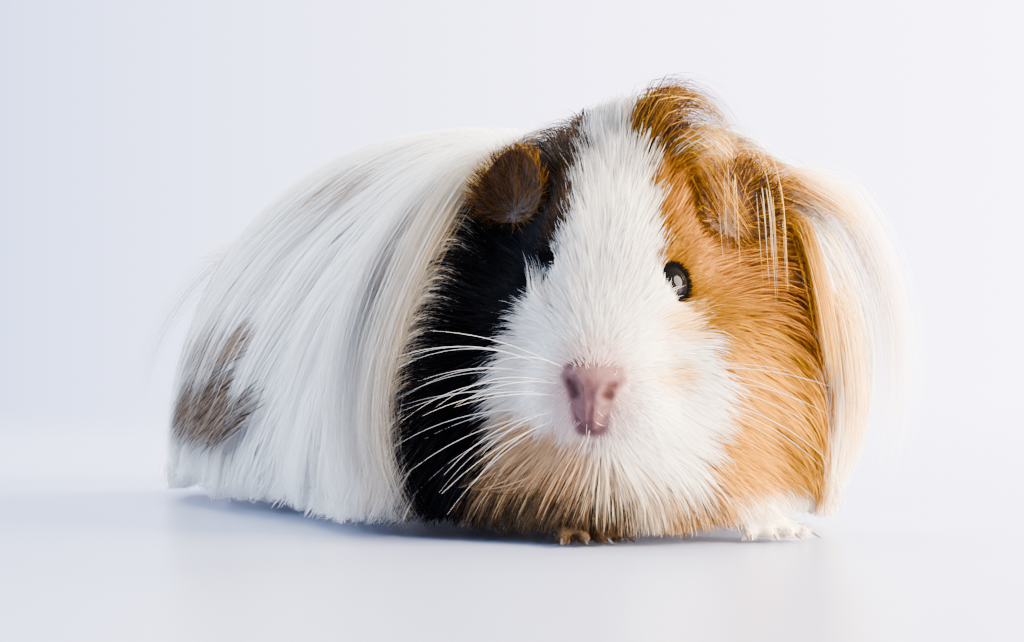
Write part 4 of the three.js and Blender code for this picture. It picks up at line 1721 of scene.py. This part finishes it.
def picked(choices, count):
    """One colour for each lock, from some colours and their shares."""
    colours, shares = zip(*choices)
    return np.array(colours)[RNG.choice(len(colours), count, p=shares)]


def rolls(degrees, count):
    return np.radians(RNG.uniform(-degrees, degrees, count))


def laid_on_coat(guide):
    """The places of a guide line, laid on the envelope and lifted off it."""
    tree = BVHTree.FromObject(envelope, bpy.context.evaluated_depsgraph_get())
    places = []
    for *head_point, lift in guide:
        near, normal = nearest_on(tree, from_head(head_point))
        places.append(near + normal * lift)
    return np.array(places)


def guided_paths(guide, count, spread):
    """Paths about a guide line: loose at the root, drawn together at the tip."""
    along = np.linspace(0, 1, len(guide))
    end = RNG.uniform(0.72, 1.0, (count, 1)) * np.linspace(0, 1, GUIDE_RINGS)[None, :]
    paths = np.stack([np.interp(end, along, guide[:, axis]) for axis in range(3)], axis=2)
    for _ in range(3):
        paths[:, 1:-1] = (paths[:, :-2] + 2 * paths[:, 1:-1] + paths[:, 2:]) / 4
    offset = RNG.normal(size=(count, 1, 3))
    wander = RNG.normal(size=(count, 1, 3)) * 0.8
    s = ring_shares(GUIDE_RINGS)
    paths = paths + offset * mix(spread[0], spread[1], s) * 0.6 + wander * np.sin(2.2 * s)
    roots, normals, flat = ground.nearest(paths[:, 0])
    paths = paths + (roots - paths[:, 0])[:, None, :] * (1 - step(0, 0.3, s))
    paths[:, :, 2] = np.maximum(paths[:, :, 2], 0.4)
    return paths, flat


def add_guided(name, guide, count, spread, choices, root_colour):
    count = fewer(count)
    paths, flat = guided_paths(laid_on_coat(guide), count, spread)
    pick = picked(choices, count)
    pick = pick * (1 + 0.10 * RNG.normal(size=(count, 1)))
    s = ring_shares(GUIDE_RINGS)
    found = np.clip(mix(root_colour, pick[:, None, :], step(0.1, 0.7, s)), *SHADES)
    lie = {"width": RNG.uniform(0.11, 0.26, count), "roll": rolls(25, count)}
    write_locks(name, paths, lie, flat, found, tint_of(pick))


for name, *settings in GUIDES:
    add_guided(f"{'coat' if 'mane' in name or name == 'wisp' else 'face'}_{name}", *settings)
print("coat pieces so far:", len(COAT_PIECES))

# %% [markdown]
# The brown patches of the haunch and back are shorter hair that lies on the long white hair. Their
# locks start just under the outer layer and stream backwards.

# %% Brown patches
PATCH_RINGS = 6
# Each patch has its centre, half size and number of locks, and its colours with their shares.
PATCH_LOCKS = (
    ((-64, 45, 29), (22, 54, 13), 1700, ((TAUPE * 0.35, 0.5), (TAUPE, 0.35), (TAUPE * 2.4, 0.15))),
    ((-60, 50, 46), (22, 52, 9), 1000, ((TAUPE * 0.8, 0.35), (TAUPE * 2, 0.65))),
    ((-38, 12, 87), (20, 32, 10), 800, ((TAUPE, 0.35), (TAUPE * 2.5, 0.65))),
)


def add_patch(name, centre, half, count, choices):
    count = fewer(count)
    inside = np.linalg.norm((ground.centres - centre) / half, axis=1)
    roots, normals, flat = ground.roots(count, 1 - step(0.35, 1.1, inside))
    out = field.outward(roots)
    start = roots + out * (-field.distance(roots) - 1.2)[:, None]
    lie = {
        "long": RNG.uniform(11, 20, count),
        "level": np.full(count, 1.0),
        "above": RNG.uniform(0.1, 0.7, count),
        "slant": np.full(count, 0.1),
        "sag": RNG.uniform(0.0, 0.3, count),
        "loose": np.full(count, 0.14),
        "width": RNG.uniform(0.16, 0.30, count),
        "roll": rolls(25, count),
    }
    paths = gather(grow(start, out, PATCH_RINGS - 1, lie), 9, np.full(count, 0.4))
    pick = picked(choices, count)
    found = np.clip(pick[:, None, :] * mix(0.9, 1.2, ring_shares(PATCH_RINGS)), *SHADES)
    write_locks(name, paths, lie, flat, found, np.where(pick.max(1) < DARK_BELOW, "dark", "white"))


for number, (centre, *settings) in enumerate(PATCH_LOCKS):
    add_patch(f"patch_{number + 1}", np.array(centre), *settings)
print("brown patches:", len(PATCH_LOCKS))

# %% [markdown]
# The fur of ears and feet is short. On an ear it is fine and sparse, so that the dark skin shows
# through, and it streams from the base towards the rim on both faces of the petal. On a foot it
# streams forwards over the toes and hides the roots of the claws.

# %% Fur of ears and feet
EAR_HAIRS = 2600
FOOT_HAIRS = 2000
FOOT_TOP = 15
FUR_RINGS = 4
# Each ear has the colours of its fur, with their shares.
EAR_FUR = {"left_ear": ((GINGER, 0.15), (GINGER_PALE, 0.08), (BROWN * 0.5, 0.42), (BROWN * 0.2, 0.35)),
           "right_ear": ((BROWN * 1.3, 0.4), (BROWN * 0.3, 0.6))}


def short_fur(name, roots, normals, flow, lengths_wanted, found, flat):
    """Straight short hairs that lie along a flow and stand a little off the skin."""
    count = len(roots)
    flow = unit(flow - normals * dot(flow, normals)[:, None])
    s = ring_shares(FUR_RINGS)
    lift = flow[:, None, :] * s + normals[:, None, :] * 0.3 * s * (1 - 0.5 * s)
    paths = roots[:, None, :] + lengths_wanted[:, None, None] * lift
    paths[:, :, 2] = np.maximum(paths[:, :, 2], 0.4)
    lie = {"width": RNG.uniform(0.10, 0.18, count), "roll": rolls(30, count)}
    colours = np.repeat(np.clip(found, *SHADES)[:, None, :], FUR_RINGS, axis=1)
    write_locks(name, paths, lie, flat, colours, tint_of(found))


def add_ear_fur(name, ear):
    petal = Scatter(ear)
    deep = field.distance(petal.points)
    base = petal.points[deep <= np.quantile(deep, 0.12)].mean(0)
    roots, normals, flat = petal.roots(EAR_HAIRS, np.ones(len(petal.areas)))
    flow = unit(roots - base) + DOWN * 0.15 + 0.32 * RNG.normal(size=roots.shape)
    found = picked(EAR_FUR[name], EAR_HAIRS)
    short_fur(f"face_{name}_fur", roots, normals, flow, RNG.uniform(2.4, 6.5, EAR_HAIRS), found, flat)


def add_foot_fur(leg):
    foot = copy_of(f"{leg} form", [leg])
    apply(foot, "DISPLACE", strength=-FOOT_DEPTH * MM, mid_level=0)
    form = Scatter(foot)
    shown = (form.centres[:, 2] < FOOT_TOP) & (form.centres[:, 2] > 0.8)
    roots, normals, _ = form.roots(FOOT_HAIRS, shown * 1.0)
    claws = np.mean([middle(name) for name in claws_of(leg)], axis=0)
    ahead = unit(claws - form.points.mean(0)) * (1, 1, 0)
    flow = ahead + DOWN * 0.4 + 0.25 * RNG.normal(size=roots.shape)
    found, _ = markings(roots)
    found = found * (1 + 0.08 * RNG.normal(size=(FOOT_HAIRS, 1)))
    _, _, flat = ground.nearest(roots)
    short_fur(f"coat_{leg}_fur", roots, normals, flow, RNG.uniform(2.0, 4.2, FOOT_HAIRS), found, flat)
    bpy.data.objects.remove(foot)


for name, ear in ears.items():
    add_ear_fur(name, ear)
for leg in LEGS:
    add_foot_fur(leg)
triangles = [sum(len(face.vertices) - 2 for face in piece.data.polygons) for piece in COAT_PIECES]
print("coat:", len(COAT_PIECES), "pieces,", sum(triangles), "triangles, largest", max(triangles))

# %% [markdown]
# The envelope was only a tool for measuring, so it is removed.

# %% Finish
bpy.data.objects.remove(envelope)
